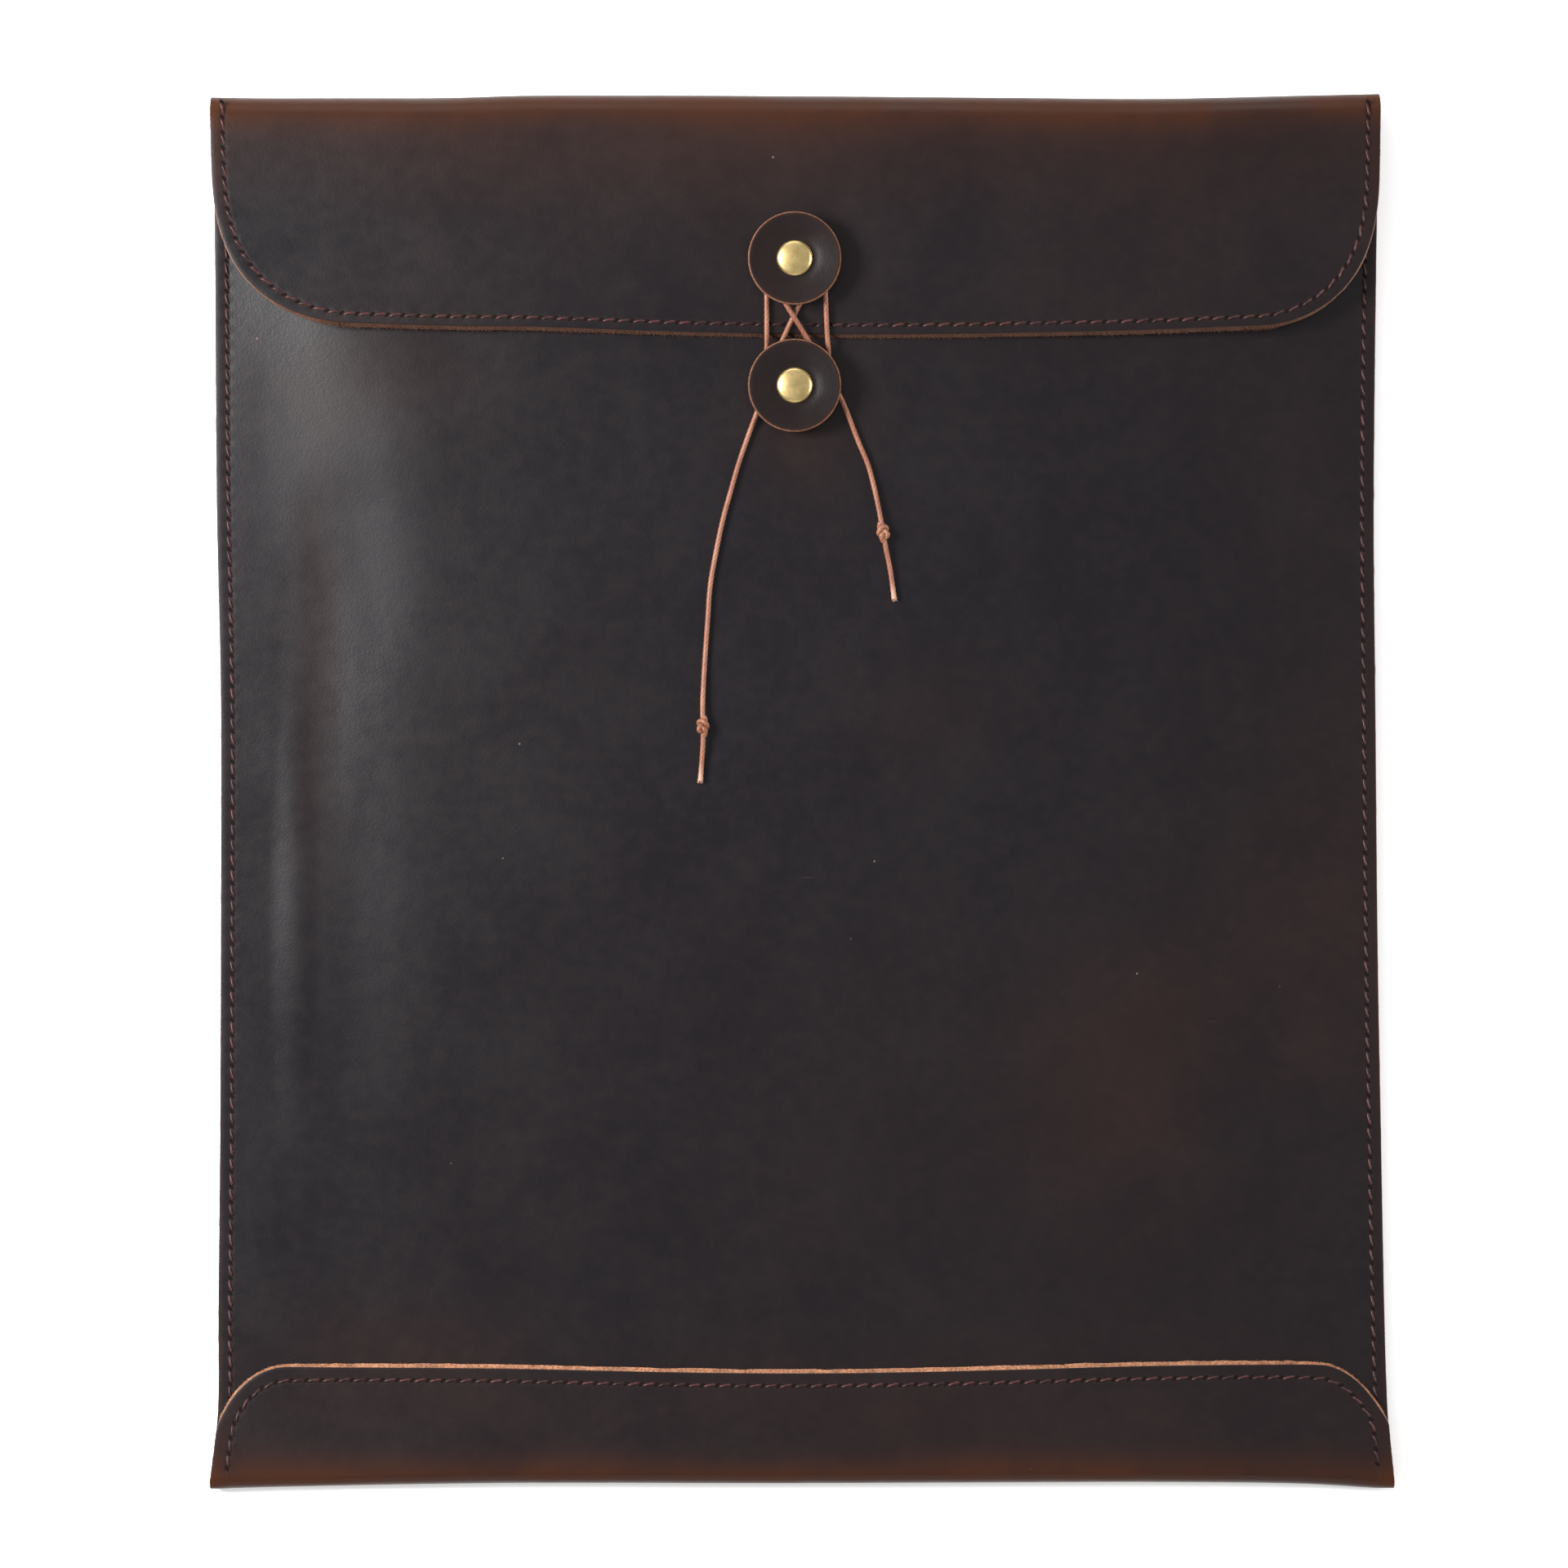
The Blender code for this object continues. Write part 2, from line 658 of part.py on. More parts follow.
def build_cord(name, route):
    """A round cord along a route, closed at both ends."""
    curve = bpy.data.curves.new(name, "CURVE")
    curve.dimensions = "3D"
    curve.bevel_depth = CORD_DIAMETER / 2
    curve.bevel_resolution = 2
    curve.use_fill_caps = True
    points = even_points(route, CORD_POINT_STEP)
    spline = curve.splines.new("POLY")
    spline.points.add(len(points) - 1)
    for target, point in zip(spline.points, points):
        target.co = (*point, 1.0)
    cord = bpy.data.objects.new(name, curve)
    bpy.context.scene.collection.objects.link(cord)
    add_material(cord, CORD_COLOUR, 0.6)


def build_knot(name, route, index):
    """The outer shape of an overhand knot, as a ring that the cord runs through."""
    outside = KNOT_DIAMETER / 2
    half = KNOT_LENGTH / 2
    profile = [
        (CORD_HOLE_RADIUS, -half),
        (outside * 0.75, -half),
        (outside, -half * 0.45),
        (outside, half * 0.45),
        (outside * 0.75, half),
        (CORD_HOLE_RADIUS, half),
    ]
    knot = turn_profile(name, profile, KNOT_SIDES)
    before, here, after = (Vector(route[index + k]) for k in (-1, 0, 1))
    turn = Vector((0, 0, 1)).rotation_difference(after - before).to_matrix().to_4x4()
    knot.matrix_world = Matrix.Translation(here) @ turn
    add_material(knot, CORD_COLOUR, 0.6)


def build_case():
    """The whole case."""
    clear_scene()
    build_outer_panel()
    build_front_panel()
    build_button("upper", UPPER_BUTTON_Y, flap_height(BUTTON_X, UPPER_BUTTON_Y))
    build_button("lower", LOWER_BUTTON_Y, front_height(BUTTON_X, LOWER_BUTTON_Y))
    build_cord("cord_winding", WINDING_ROUTE)
    build_cord("cord_left", LEFT_CORD_ROUTE)
    build_cord("cord_right", RIGHT_CORD_ROUTE)
    build_knot("knot_left", LEFT_CORD_ROUTE, LEFT_KNOT_POINT)
    build_knot("knot_right", RIGHT_CORD_ROUTE, RIGHT_KNOT_POINT)


build_case()
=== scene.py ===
"""Looks of a leather document case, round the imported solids, in metres."""

import math
import random

import bmesh
import bpy
import numpy as np
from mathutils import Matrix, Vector


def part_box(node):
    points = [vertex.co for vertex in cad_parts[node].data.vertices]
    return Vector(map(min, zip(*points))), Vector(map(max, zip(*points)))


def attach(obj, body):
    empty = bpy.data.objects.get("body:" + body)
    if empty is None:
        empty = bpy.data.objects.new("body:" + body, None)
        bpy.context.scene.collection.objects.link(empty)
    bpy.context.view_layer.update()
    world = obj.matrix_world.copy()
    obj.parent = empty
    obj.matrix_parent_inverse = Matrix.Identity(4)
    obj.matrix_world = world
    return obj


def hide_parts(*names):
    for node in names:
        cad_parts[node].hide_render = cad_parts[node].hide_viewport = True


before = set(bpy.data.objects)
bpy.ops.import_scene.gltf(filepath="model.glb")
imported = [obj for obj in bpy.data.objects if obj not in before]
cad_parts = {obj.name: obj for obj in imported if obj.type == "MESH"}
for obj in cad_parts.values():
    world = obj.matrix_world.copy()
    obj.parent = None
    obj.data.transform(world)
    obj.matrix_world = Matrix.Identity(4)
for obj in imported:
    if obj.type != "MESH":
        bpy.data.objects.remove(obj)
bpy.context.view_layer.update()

# Sizes of the real case, as the solids have them
LEATHER = 0.0018
LAY_GAP = 0.0003
CASE_LENGTH = 0.356
CASE_WIDTH = 0.298
SIDE_SWAY = 0.0046
FOLD_SWAY = 0.0015
POCKET_DEPTH = 0.0054
SEAM_WIDTH = 0.0040
FOOT_RAMP = 0.190
MOUTH_RAMP = 0.018
FOOT_RISE_SHARE = 0.15
MOUTH_RISE_SHARE = 0.85
MOUTH_DROP = 0.012
FLAP_LENGTH = 0.0591
FLAP_SAG = 0.0031
FLAP_LEAN = 0.0007
FLAP_GAP = 0.0014
FLAP_EDGE_GAP = 0.0005
FLAP_EASE = 0.012
FLAP_FOLLOW = 0.16
FLAP_RAMP = 0.056
FLAP_SIDE_LIFT = 0.0009
FLAP_LEFT = (0.036, 0.043, 0.35)
FLAP_RIGHT = (0.031, 0.042, 0.35)
BAND_HEIGHT = 0.0317
BAND_DIP = 0.0023
BAND_LEFT = (0.018, 0.0175, 0.60)
BAND_RIGHT = (0.0175, 0.0156, 0.80)
DISC_DIAMETER = 0.0238
DISC_THICKNESS = 0.0019
DISC_DISH = 0.0008
SPACER_DIAMETER = 0.0110
RIVET_CAP_DIAMETER = 0.0091
RIVET_CAP_HEIGHT = 0.0011
RIVET_SHANK_DIAMETER = 0.0030
RIVET_BACK_DIAMETER = 0.0080
RIVET_BACK_THICKNESS = 0.0007
CORD_DIAMETER = 0.0015

SIDE_SECTIONS = {
    "along": (-1.00, -0.90, -0.75, -0.51, -0.23, 0.13, 0.41, 0.83, 1.00),
    "left": (0.33, -0.10, -0.13, -0.22, -0.26, -0.26, -0.04, 0.09, 0.24),
    "right": (1.00, 0.65, 0.46, 0.28, 0.09, -0.04, -0.13, 0.04, 0.13),
}
FOLD_SECTIONS = {
    "across": (-1.00, -0.93, -0.80, -0.60, -0.45, 0.00, 0.40, 0.62, 0.87, 1.00),
    "top": (-0.28, -0.42, -0.42, -0.40, 0.00, -0.10, -0.42, -0.56, 0.00, 0.28),
    "bottom": (1.00, 0.75, 0.45, 0.10, -0.05, 0.00, -0.15, -0.20, 0.10, 0.85),
}
FRONT_DENTS = {
    "across": (-0.83, -0.865, 0.80, 0.30),
    "along": (0.14, -0.20, -0.30, -0.55),
    "reach_across": (0.085, 0.045, 0.14, 0.35),
    "reach_along": (0.34, 0.36, 0.28, 0.16),
    "rise": (-0.07, 0.05, -0.06, -0.05),
}

# How the pocket swells from each side seam: curves by reach, soft steps by place and reach,
# and the shares of each at places along the side
SWELL_CURVES = (("near", 0.050), ("far", 0.140))
SWELL_STEPS = (
    ("ridge", 0.0140, 0.0042),
    ("upper", 0.0210, 0.0170),
    ("hollow", 0.0225, 0.0076),
    ("middle", 0.0370, 0.0120),
    ("wide", 0.0620, 0.0340),
)
LEFT_SWELL = {
    "along": (-1.00, -0.65, -0.45, -0.30, -0.05, 0.10, 0.40, 0.50, 0.66, 1.00),
    "near": (0.02, 0.02, 0.06, 0.06, 0.07, 0.12, 0.36, 0.62, 0.54, 0.30),
    "far": (0.60, 0.56, 0.50, 0.46, 0.44, 0.40, 0.32, 0.18, 0.20, 0.30),
    "ridge": (0.00, 0.00, 0.03, 0.08, 0.13, 0.14, 0.07, 0.00, 0.00, 0.00),
    "upper": (0.00, 0.00, 0.00, 0.00, 0.00, 0.00, 0.20, 0.90, 0.70, 0.40),
    "hollow": (0.00, 0.00, 0.00, -0.03, -0.06, -0.04, -0.04, 0.00, 0.00, 0.00),
    "middle": (0.34, 0.30, 0.26, 0.28, 0.34, 0.44, 0.60, 0.42, 0.00, 0.00),
    "wide": (0.10, 0.16, 0.28, 0.36, 0.42, 0.44, 0.44, 0.36, 0.16, 0.10),
}
RIGHT_SWELL = {"along": (-1.00, 1.00), "near": (0.30, 0.30), "far": (0.35, 0.35), "middle": (0.35, 0.35)}

# Where the leather's brown shows through its dark wax: centre x and y, reach in x and y, strength
WARM_PATCHES = (
    (0.1350, -0.0240, 0.0300, 0.1000, 0.24),
    (0.0850, -0.0700, 0.0260, 0.0450, 0.24),
    (0.0020, 0.0980, 0.0140, 0.0200, 0.34),
    (-0.1233, 0.0390, 0.0060, 0.0480, 0.20),
    (-0.1050, -0.1440, 0.0340, 0.0130, 0.26),
    (0.1080, 0.1380, 0.0600, 0.0260, 0.22),
    (-0.0090, 0.1400, 0.0330, 0.0220, 0.12),
    (-0.1050, 0.1070, 0.0320, 0.0170, 0.20),
    (0.0260, -0.1000, 0.1250, 0.0800, 0.05),
    (0.0000, -0.1620, 0.2200, 0.0180, 0.22),
    (-0.0700, 0.1450, 0.0400, 0.0250, 0.12),
    (0.0400, 0.0200, 0.0250, 0.0150, 0.15),
    (0.0100, 0.1630, 0.1500, 0.0130, 0.12),
)

# Routes of the cord, as the solids have them
WINDING_ROUTE = [
    (-0.0093, 0.0984, 0.0118), (-0.0082, 0.1013, 0.0120), (-0.0070, 0.1050, 0.0121),
    (-0.0053, 0.1098, 0.0123), (-0.0037, 0.1144, 0.0126), (-0.0024, 0.1173, 0.0127),
    (-0.0005, 0.1212, 0.0130), (0.0010, 0.1242, 0.0133), (0.0030, 0.1276, 0.0135),
    (0.0054, 0.1312, 0.0135), (0.0066, 0.1354, 0.0135), (0.0046, 0.1403, 0.0135),
    (-0.0004, 0.1424, 0.0135), (-0.0053, 0.1403, 0.0135), (-0.0074, 0.1354, 0.0135),
    (-0.0075, 0.1305, 0.0135), (-0.0075, 0.1258, 0.0134), (-0.0075, 0.1210, 0.0131),
    (-0.0075, 0.1165, 0.0126), (-0.0075, 0.1130, 0.0120), (-0.0076, 0.1080, 0.0106),
    (-0.0075, 0.1032, 0.0103), (-0.0056, 0.0982, 0.0103), (-0.0005, 0.0960, 0.0103),
    (0.0048, 0.0979, 0.0103), (0.0077, 0.1020, 0.0103), (0.0083, 0.1070, 0.0104),
    (0.0083, 0.1114, 0.0117), (0.0081, 0.1142, 0.0124), (0.0079, 0.1170, 0.0128),
    (0.0077, 0.1212, 0.0134), (0.0075, 0.1258, 0.0141), (0.0072, 0.1305, 0.0150),
    (0.0066, 0.1354, 0.01525), (0.0046, 0.1403, 0.01525), (-0.0004, 0.1424, 0.01525),
    (-0.0053, 0.1403, 0.01525), (-0.0074, 0.1354, 0.01525), (-0.0062, 0.1308, 0.01525),
    (-0.0043, 0.1270, 0.0152), (-0.0022, 0.1232, 0.0150), (-0.0008, 0.1210, 0.0147),
    (0.0014, 0.1176, 0.0137), (0.0034, 0.1143, 0.0127), (0.0058, 0.1101, 0.0122),
    (0.0082, 0.1059, 0.01215), (0.0097, 0.1031, 0.0120),
]
LEFT_CORD_ROUTE = [
    (-0.0094, 0.0981, 0.0117), (-0.0105, 0.0952, 0.0111), (-0.0124, 0.0901, 0.0104),
    (-0.0148, 0.0831, 0.01035), (-0.0168, 0.0761, 0.01035), (-0.0187, 0.0692, 0.01035),
    (-0.0206, 0.0602, 0.01035), (-0.0220, 0.0519, 0.01035), (-0.0226, 0.0436, 0.01035),
    (-0.0232, 0.0352, 0.01035), (-0.0237, 0.0269, 0.0105), (-0.0239, 0.0210, 0.0110),
    (-0.0238, 0.0163, 0.0114), (-0.0238, 0.0120, 0.0111), (-0.0241, 0.0075, 0.0105),
    (-0.0245, 0.0023, 0.01035),
]
RIGHT_CORD_ROUTE = [
    (0.0099, 0.1028, 0.0119), (0.0117, 0.0996, 0.0113), (0.0137, 0.0948, 0.0105),
    (0.0161, 0.0886, 0.01035), (0.0184, 0.0831, 0.01035), (0.0199, 0.0775, 0.0105),
    (0.0211, 0.0720, 0.0109), (0.0222, 0.0659, 0.0114), (0.0230, 0.0614, 0.0110),
    (0.0241, 0.0560, 0.0104), (0.0251, 0.0488, 0.01035),
]
LEFT_KNOT_POINT = 12
RIGHT_KNOT_POINT = 7

# An overhand knot's centre line, in cord diameters: along the cord, across it and up
KNOT_TURNS = [
    (-1.75, 0.02, 0.00), (-1.30, 0.08, -0.08), (-0.90, 0.18, -0.30),
    (-0.45, -0.05, -0.42), (0.00, -0.62, 0.34), (0.55, -0.95, 0.38),
    (0.92, -0.55, 0.10), (0.60, 0.08, -0.40), (0.00, 0.48, 0.02),
    (-0.60, 0.08, 0.42), (-0.92, -0.55, 0.05), (-0.55, -0.95, -0.36),
    (0.00, -0.62, -0.42), (0.45, -0.05, 0.44), (0.90, 0.18, 0.30),
    (1.30, 0.08, 0.08), (1.75, 0.02, 0.00),
]

# What only the looks need
STITCH_PITCH = 0.0039
STITCH_INSET = 0.0033
BAND_STITCH_INSET = 0.0041
SIDE_STITCH_INSET = 0.0031
THREAD_RADIUS = 0.00029
STITCH_SLANT = 0.00050
HOLE_LENGTH = 0.00168
HOLE_WIDTH = 0.00088
HOLE_DEPTH = 0.0003
RIM = 0.0015
EDGE_BEVEL = 0.0001
FLAP_BEVEL = 0.00090
BAND_BEVEL = 0.00085
EDGE_ROUND = 0.00022
RIPPLE = 0.00007
DISC_ROUND = 0.0005
CORD_RADIUS = 0.00065
CORD_STEP = 0.0004
CORD_SIDES = 14
CORD_TWIST = 1500.0
CAP_DOME = 0.00070

# What the camera sees: its width in metres at a level near the case's top, and its middle
PHOTO_WIDTH = 0.4013
PHOTO_LEVEL = 0.009
PHOTO_CENTRE = (-0.0031, 0.0015)
CAMERA_HEIGHT = 1.8

# Values that follow from the sizes above
HALF_LENGTH = CASE_LENGTH / 2
HALF_WIDTH = CASE_WIDTH / 2
HALF_LEATHER = LEATHER / 2
CORNER_WIDTH = max(FLAP_LEFT[0], FLAP_RIGHT[0], BAND_LEFT[0], BAND_RIGHT[0])
EDGE_WIDTH = CORNER_WIDTH + 0.020


def smooth_step(value):
    """Eases from 0 to 1 with level ends."""
    share = np.clip(value, 0.0, 1.0)
    return share * share * (3 - 2 * share)


def read_table(table, place, column, at):
    """Reads one column of a table at places between its rows, on a smooth curve."""
    places = np.array(table[place])
    values = np.array(table[column])
    last = len(places) - 1
    at = np.clip(at, places[0], places[last])
    low = np.clip(np.searchsorted(places, at, side="right") - 1, 0, last - 1)
    high = low + 1
    before = np.maximum(np.arange(last + 1) - 1, 0)
    after = np.minimum(np.arange(last + 1) + 1, last)
    slopes = (values[after] - values[before]) / (places[after] - places[before])
    span = places[high] - places[low]
    t = (at - places[low]) / span
    rise = values[high] - values[low]
    start = slopes[low] * span
    end = slopes[high] * span
    return values[low] + start * t + (3 * rise - 2 * start - end) * t**2 + (start + end - 2 * rise) * t**3


def left_side(y):
    return -HALF_WIDTH - SIDE_SWAY * read_table(SIDE_SECTIONS, "along", "left", y / HALF_LENGTH)


def right_side(y):
    return HALF_WIDTH + SIDE_SWAY * read_table(SIDE_SECTIONS, "along", "right", y / HALF_LENGTH)


def side_distance(x, y):
    """How far a place lies from the nearer side."""
    return np.minimum(x - left_side(y), right_side(y) - x)


def top_line(x):
    return HALF_LENGTH + FOLD_SWAY * read_table(FOLD_SECTIONS, "across", "top", x / HALF_WIDTH)


def bottom_line(x):
    return -HALF_LENGTH - FOLD_SWAY * read_table(FOLD_SECTIONS, "across", "bottom", x / HALF_WIDTH)


def soft_step(inside, middle, reach):
    """Rises from 0 to 1 past a place, over about twice the reach."""
    return 0.5 + 0.5 * np.tanh(1.2 * (inside - middle) / reach)


def swell(inside, along, shares):
    """The share of the full swelling at a distance from a side seam, from 0 at the seam to 1."""
    shapes = {name: 1 - np.clip(1 - inside / reach, 0.0, 1.0) ** 2 for name, reach in SWELL_CURVES}
    for name, middle, reach in SWELL_STEPS:
        start = soft_step(0.0, middle, reach)
        shapes[name] = (soft_step(inside, middle, reach) - start) / (1 - start)
    parts = {name: read_table(shares, "along", name, along) for name in shapes if name in shares}
    return sum(parts[name] * shapes[name] for name in parts) / sum(parts.values())


def side_rise(x, y):
    """How far the pocket has swelled at a place, from its two side seams."""
    along = y / HALF_LENGTH
    wander = 0.0012 * np.sin(y * 45 + 1.0) + 0.0006 * np.sin(y * 110)
    from_left = np.maximum(x - left_side(y) - SEAM_WIDTH, 0.0)
    from_right = np.maximum(right_side(y) - x - SEAM_WIDTH, 0.0)
    bent = from_left + wander * smooth_step(from_left / 0.010)
    left = swell(np.maximum(bent, 0.0), along, LEFT_SWELL)
    right = swell(from_right, along, RIGHT_SWELL)
    return (left + right - np.sqrt((left - right) ** 2 + 0.0004)) / 2


def foot_rise(y):
    return FOOT_RISE_SHARE + (1 - FOOT_RISE_SHARE) * smooth_step((y + HALF_LENGTH) / FOOT_RAMP)


def mouth_rise(y):
    sunk = smooth_step(1 - (HALF_LENGTH - MOUTH_DROP - y) / MOUTH_RAMP)
    return 1 - (1 - MOUTH_RISE_SHARE) * sunk


def front_dents(x, y):
    total = 0.0
    for across, along, wide, tall, rise in zip(*FRONT_DENTS.values()):
        sideways = (x / HALF_WIDTH - across) / wide
        lengthways = (y / HALF_LENGTH - along) / tall
        inside = np.maximum(0.0, 1 - sideways**2 - lengthways**2)
        total = total + POCKET_DEPTH * rise * inside**2
    return total


def ripple(x, y):
    """The faint unevenness of leather that has been handled."""
    waves = np.sin(x * 71 + np.sin(y * 33) * 1.3) * np.sin(y * 52 + 0.7)
    waves = waves + 0.6 * np.sin(x * 118 + y * 61 + 2.0) + 0.4 * np.sin(y * 143 - x * 87)
    return RIPPLE * waves * side_rise(x, y)


def front_height(x, y):
    """The middle of the front panel's leather."""
    bulge = POCKET_DEPTH * side_rise(x, y) * foot_rise(y) * mouth_rise(y)
    relief = front_dents(x, y) + ripple(x, y)
    return LEATHER + LAY_GAP + bulge + relief + HALF_LEATHER


def band_height(x, y):
    """The middle of the band's leather, which lies on the front panel."""
    return front_height(x, y) + LEATHER + LAY_GAP


def corner_cut(offset, shape, inset):
    """How much shorter a free edge is near a side: a curve of 0.5 is a quarter of an ellipse."""
    across, along, curve = shape
    share = np.clip(1 - (offset - inset) / (across - inset), 0.0, 1.0)
    return (along - inset) * (1 - (1 - share * share) ** curve)


def corner_cuts(x, y, left_shape, right_shape, inset):
    left = corner_cut(x - left_side(y), left_shape, inset)
    return np.maximum(left, corner_cut(right_side(y) - x, right_shape, inset))


def middle_share(x):
    return (1 + np.cos(np.pi * np.minimum(1.0, np.abs(x) / HALF_WIDTH))) / 2


def flap_edge(x, y, inset=0.0):
    """The y of the flap's free edge, or of a line at an even distance inside it."""
    length = FLAP_LENGTH + FLAP_SAG * middle_share(x) + FLAP_LEAN * x / HALF_WIDTH - inset
    return top_line(x) - length + corner_cuts(x, y, FLAP_LEFT, FLAP_RIGHT, inset)


def band_edge(x, y, inset=0.0):
    """The y of the band's free edge, or of a line at an even distance inside it."""
    height = BAND_HEIGHT - BAND_DIP * middle_share(x) - inset
    return bottom_line(x) + height - corner_cuts(x, y, BAND_LEFT, BAND_RIGHT, inset)


def flap_height(x, y):
    """The middle of the flap's leather."""
    inside = smooth_step((side_distance(x, y) - SEAM_WIDTH) / FLAP_RAMP)
    bulge = POCKET_DEPTH * (1 - FLAP_FOLLOW * (1 - inside)) + ripple(x, y)
    from_edge = y - flap_edge(x, y)
    edge_gap = FLAP_EDGE_GAP + FLAP_SIDE_LIFT * smooth_step((np.abs(x) - 0.02) / 0.06)
    gap = edge_gap + (FLAP_GAP - edge_gap) * smooth_step(from_edge / FLAP_EASE)
    return LEATHER + LAY_GAP + bulge + LEATHER + gap + HALF_LEATHER


def column_places(inset, corner_steps, middle_step):
    """Columns as arrays: 0 for left, 1 for middle and 2 for right, with a distance or a share."""
    angles = np.linspace(0, math.pi / 2, corner_steps + 1)
    offsets = inset + (CORNER_WIDTH - inset) * (1 - np.cos(angles))
    shoulder = np.arange(CORNER_WIDTH + middle_step, EDGE_WIDTH - middle_step / 2, middle_step)
    offsets = np.concatenate([offsets, shoulder])
    count = round((CASE_WIDTH - 2 * EDGE_WIDTH) / middle_step)
    shares = np.arange(0, count + 1) / count
    sides = [np.zeros(len(offsets)), np.ones(len(shares)), np.full(len(offsets), 2)]
    return np.concatenate(sides), np.concatenate([offsets, shares, offsets[::-1]])


def column_x(columns, y):
    """The x of every column at its y."""
    sides, values = columns
    if np.ndim(y) == 2:
        sides = sides[:, None]
        values = values[:, None]
    left = left_side(y)
    right = right_side(y)
    start = left + EDGE_WIDTH
    middle = start + (right - EDGE_WIDTH - start) * values
    return np.where(sides == 0, left + values, np.where(sides == 2, right - values, middle))


def half_turn(start, end, outside, way, steps):
    """A round fold in the plane of y and z for every column, from one level to another."""
    radius = np.abs(start - end) / 2
    height = (start + end) / 2
    centre = outside - way * radius
    angles = np.linspace(0, math.pi, steps + 1)[None, :]
    y = centre[:, None] + way * radius[:, None] * np.sin(angles)
    z = height[:, None] + (start - height)[:, None] * np.cos(angles)
    return y, z


def between(start, end, shares):
    return start[:, None] + (end - start)[:, None] * shares[None, :]


def shares_from_edge(near, far):
    """Shares from 0 to 1 that lie closer together near 0."""
    fine = np.linspace(0, 0.12, near + 1)
    return np.concatenate([fine, np.linspace(0.12, 1, far + 1)[1:]])


def outer_grid(columns, inset):
    """The outer panel's middle surface, from the flap's free edge to the band's."""
    ones = np.ones(len(columns[0]))
    top_x = column_x(columns, HALF_LENGTH * ones)
    bottom_x = column_x(columns, -HALF_LENGTH * ones)
    top = top_line(top_x) - HALF_LEATHER
    bottom = bottom_line(bottom_x) + HALF_LEATHER
    back = HALF_LEATHER * ones
    top_y, top_z = half_turn(flap_height(top_x, top), back, top, 1, 16)
    bottom_y, bottom_z = half_turn(back, band_height(bottom_x, bottom), bottom, -1, 16)

    flap_shares = shares_from_edge(6, 26)[:-1]
    flap_y = between(flap_edge(top_x, top, inset), top_y[:, 0], flap_shares)
    back_shares = np.linspace(0, 1, 41)[1:-1]
    back_y = between(top_y[:, -1], bottom_y[:, 0], back_shares)
    band_shares = (1 - shares_from_edge(6, 16)[::-1])[1:]
    band_y = between(bottom_y[:, -1], band_edge(bottom_x, bottom, inset), band_shares)

    flap_z = flap_height(column_x(columns, flap_y), flap_y)
    band_z = band_height(column_x(columns, band_y), band_y)
    back_z = np.full_like(back_y, HALF_LEATHER)
    y = np.concatenate([flap_y, top_y, back_y, bottom_y, band_y], axis=1)
    z = np.concatenate([flap_z, top_z, back_z, bottom_z, band_z], axis=1)
    return np.stack([column_x(columns, y), y, z], axis=2)


def front_grid(columns, inset):
    """The front panel's middle surface, from its foot to its mouth."""
    ones = np.ones(len(columns[0]))
    bottom_x = column_x(columns, -HALF_LENGTH * ones)
    outside = bottom_line(bottom_x) + HALF_LEATHER
    fold_y, _ = half_turn(HALF_LEATHER * ones, band_height(bottom_x, outside), outside, -1, 2)
    foot = fold_y[:, 0] + LAY_GAP + inset
    mouth = (HALF_LENGTH - MOUTH_DROP - inset) * ones
    y = between(foot, mouth, np.linspace(0, 1, 161))
    x = column_x(columns, y)
    return np.stack([x, y, front_height(x, y)], axis=2)


def unit(vectors):
    return vectors / np.linalg.norm(vectors, axis=-1, keepdims=True)


def path_lengths(points):
    """The length along a line up to each of its points."""
    runs = np.linalg.norm(np.diff(points, axis=0), axis=1)
    return np.concatenate([[0.0], np.cumsum(runs)])


def even_path(points, step):
    """Points an even step apart along a line of straight runs."""
    points = np.array(points)
    lengths = path_lengths(points)
    count = max(1, round(lengths[-1] / step))
    at = np.linspace(0, lengths[-1], count + 1)
    return np.stack([np.interp(at, lengths, points[:, k]) for k in range(points.shape[1])], axis=1)


def edge_line(edge, inset, end_y, sign):
    """A stitch line inside a free edge, in plan, from the left end to the right end."""
    columns = column_places(inset, 40, 0.004)
    ones = np.ones(len(columns[0]))
    start_y = sign * HALF_LENGTH * ones
    x = column_x(columns, start_y)
    y = edge(x, start_y, inset)
    for _ in range(3):
        x = column_x(columns, y)
        y = edge(x, y, inset)
    left_y = np.linspace(end_y[0], y[0], 20)[:-1]
    right_y = np.linspace(y[-1], end_y[1], 20)[1:]
    left = np.stack([left_side(left_y) + inset, left_y], axis=1)
    right = np.stack([right_side(right_y) - inset, right_y], axis=1)
    return np.concatenate([left, np.stack([x, y], axis=1), right])


FLAP_ENDS = (HALF_LENGTH - 0.0022, HALF_LENGTH - 0.0022)
BAND_ENDS = (-HALF_LENGTH + 0.0040, -HALF_LENGTH + 0.0052)
FLAP_LINE = even_path(edge_line(flap_edge, STITCH_INSET, FLAP_ENDS, 1), STITCH_PITCH)
BAND_LINE = even_path(edge_line(band_edge, BAND_STITCH_INSET, BAND_ENDS, -1), STITCH_PITCH)


def side_line(side):
    """The stitch line along one side of the front panel, in plan, from foot to mouth."""
    y = np.linspace(-HALF_LENGTH + 0.006, HALF_LENGTH - MOUTH_DROP - 0.003, 90)
    x = left_side(y) + SIDE_STITCH_INSET if side == "left" else right_side(y) - SIDE_STITCH_INSET
    return even_path(np.stack([x, y], axis=1), STITCH_PITCH)


LEFT_LINE = side_line("left")
RIGHT_LINE = side_line("right")


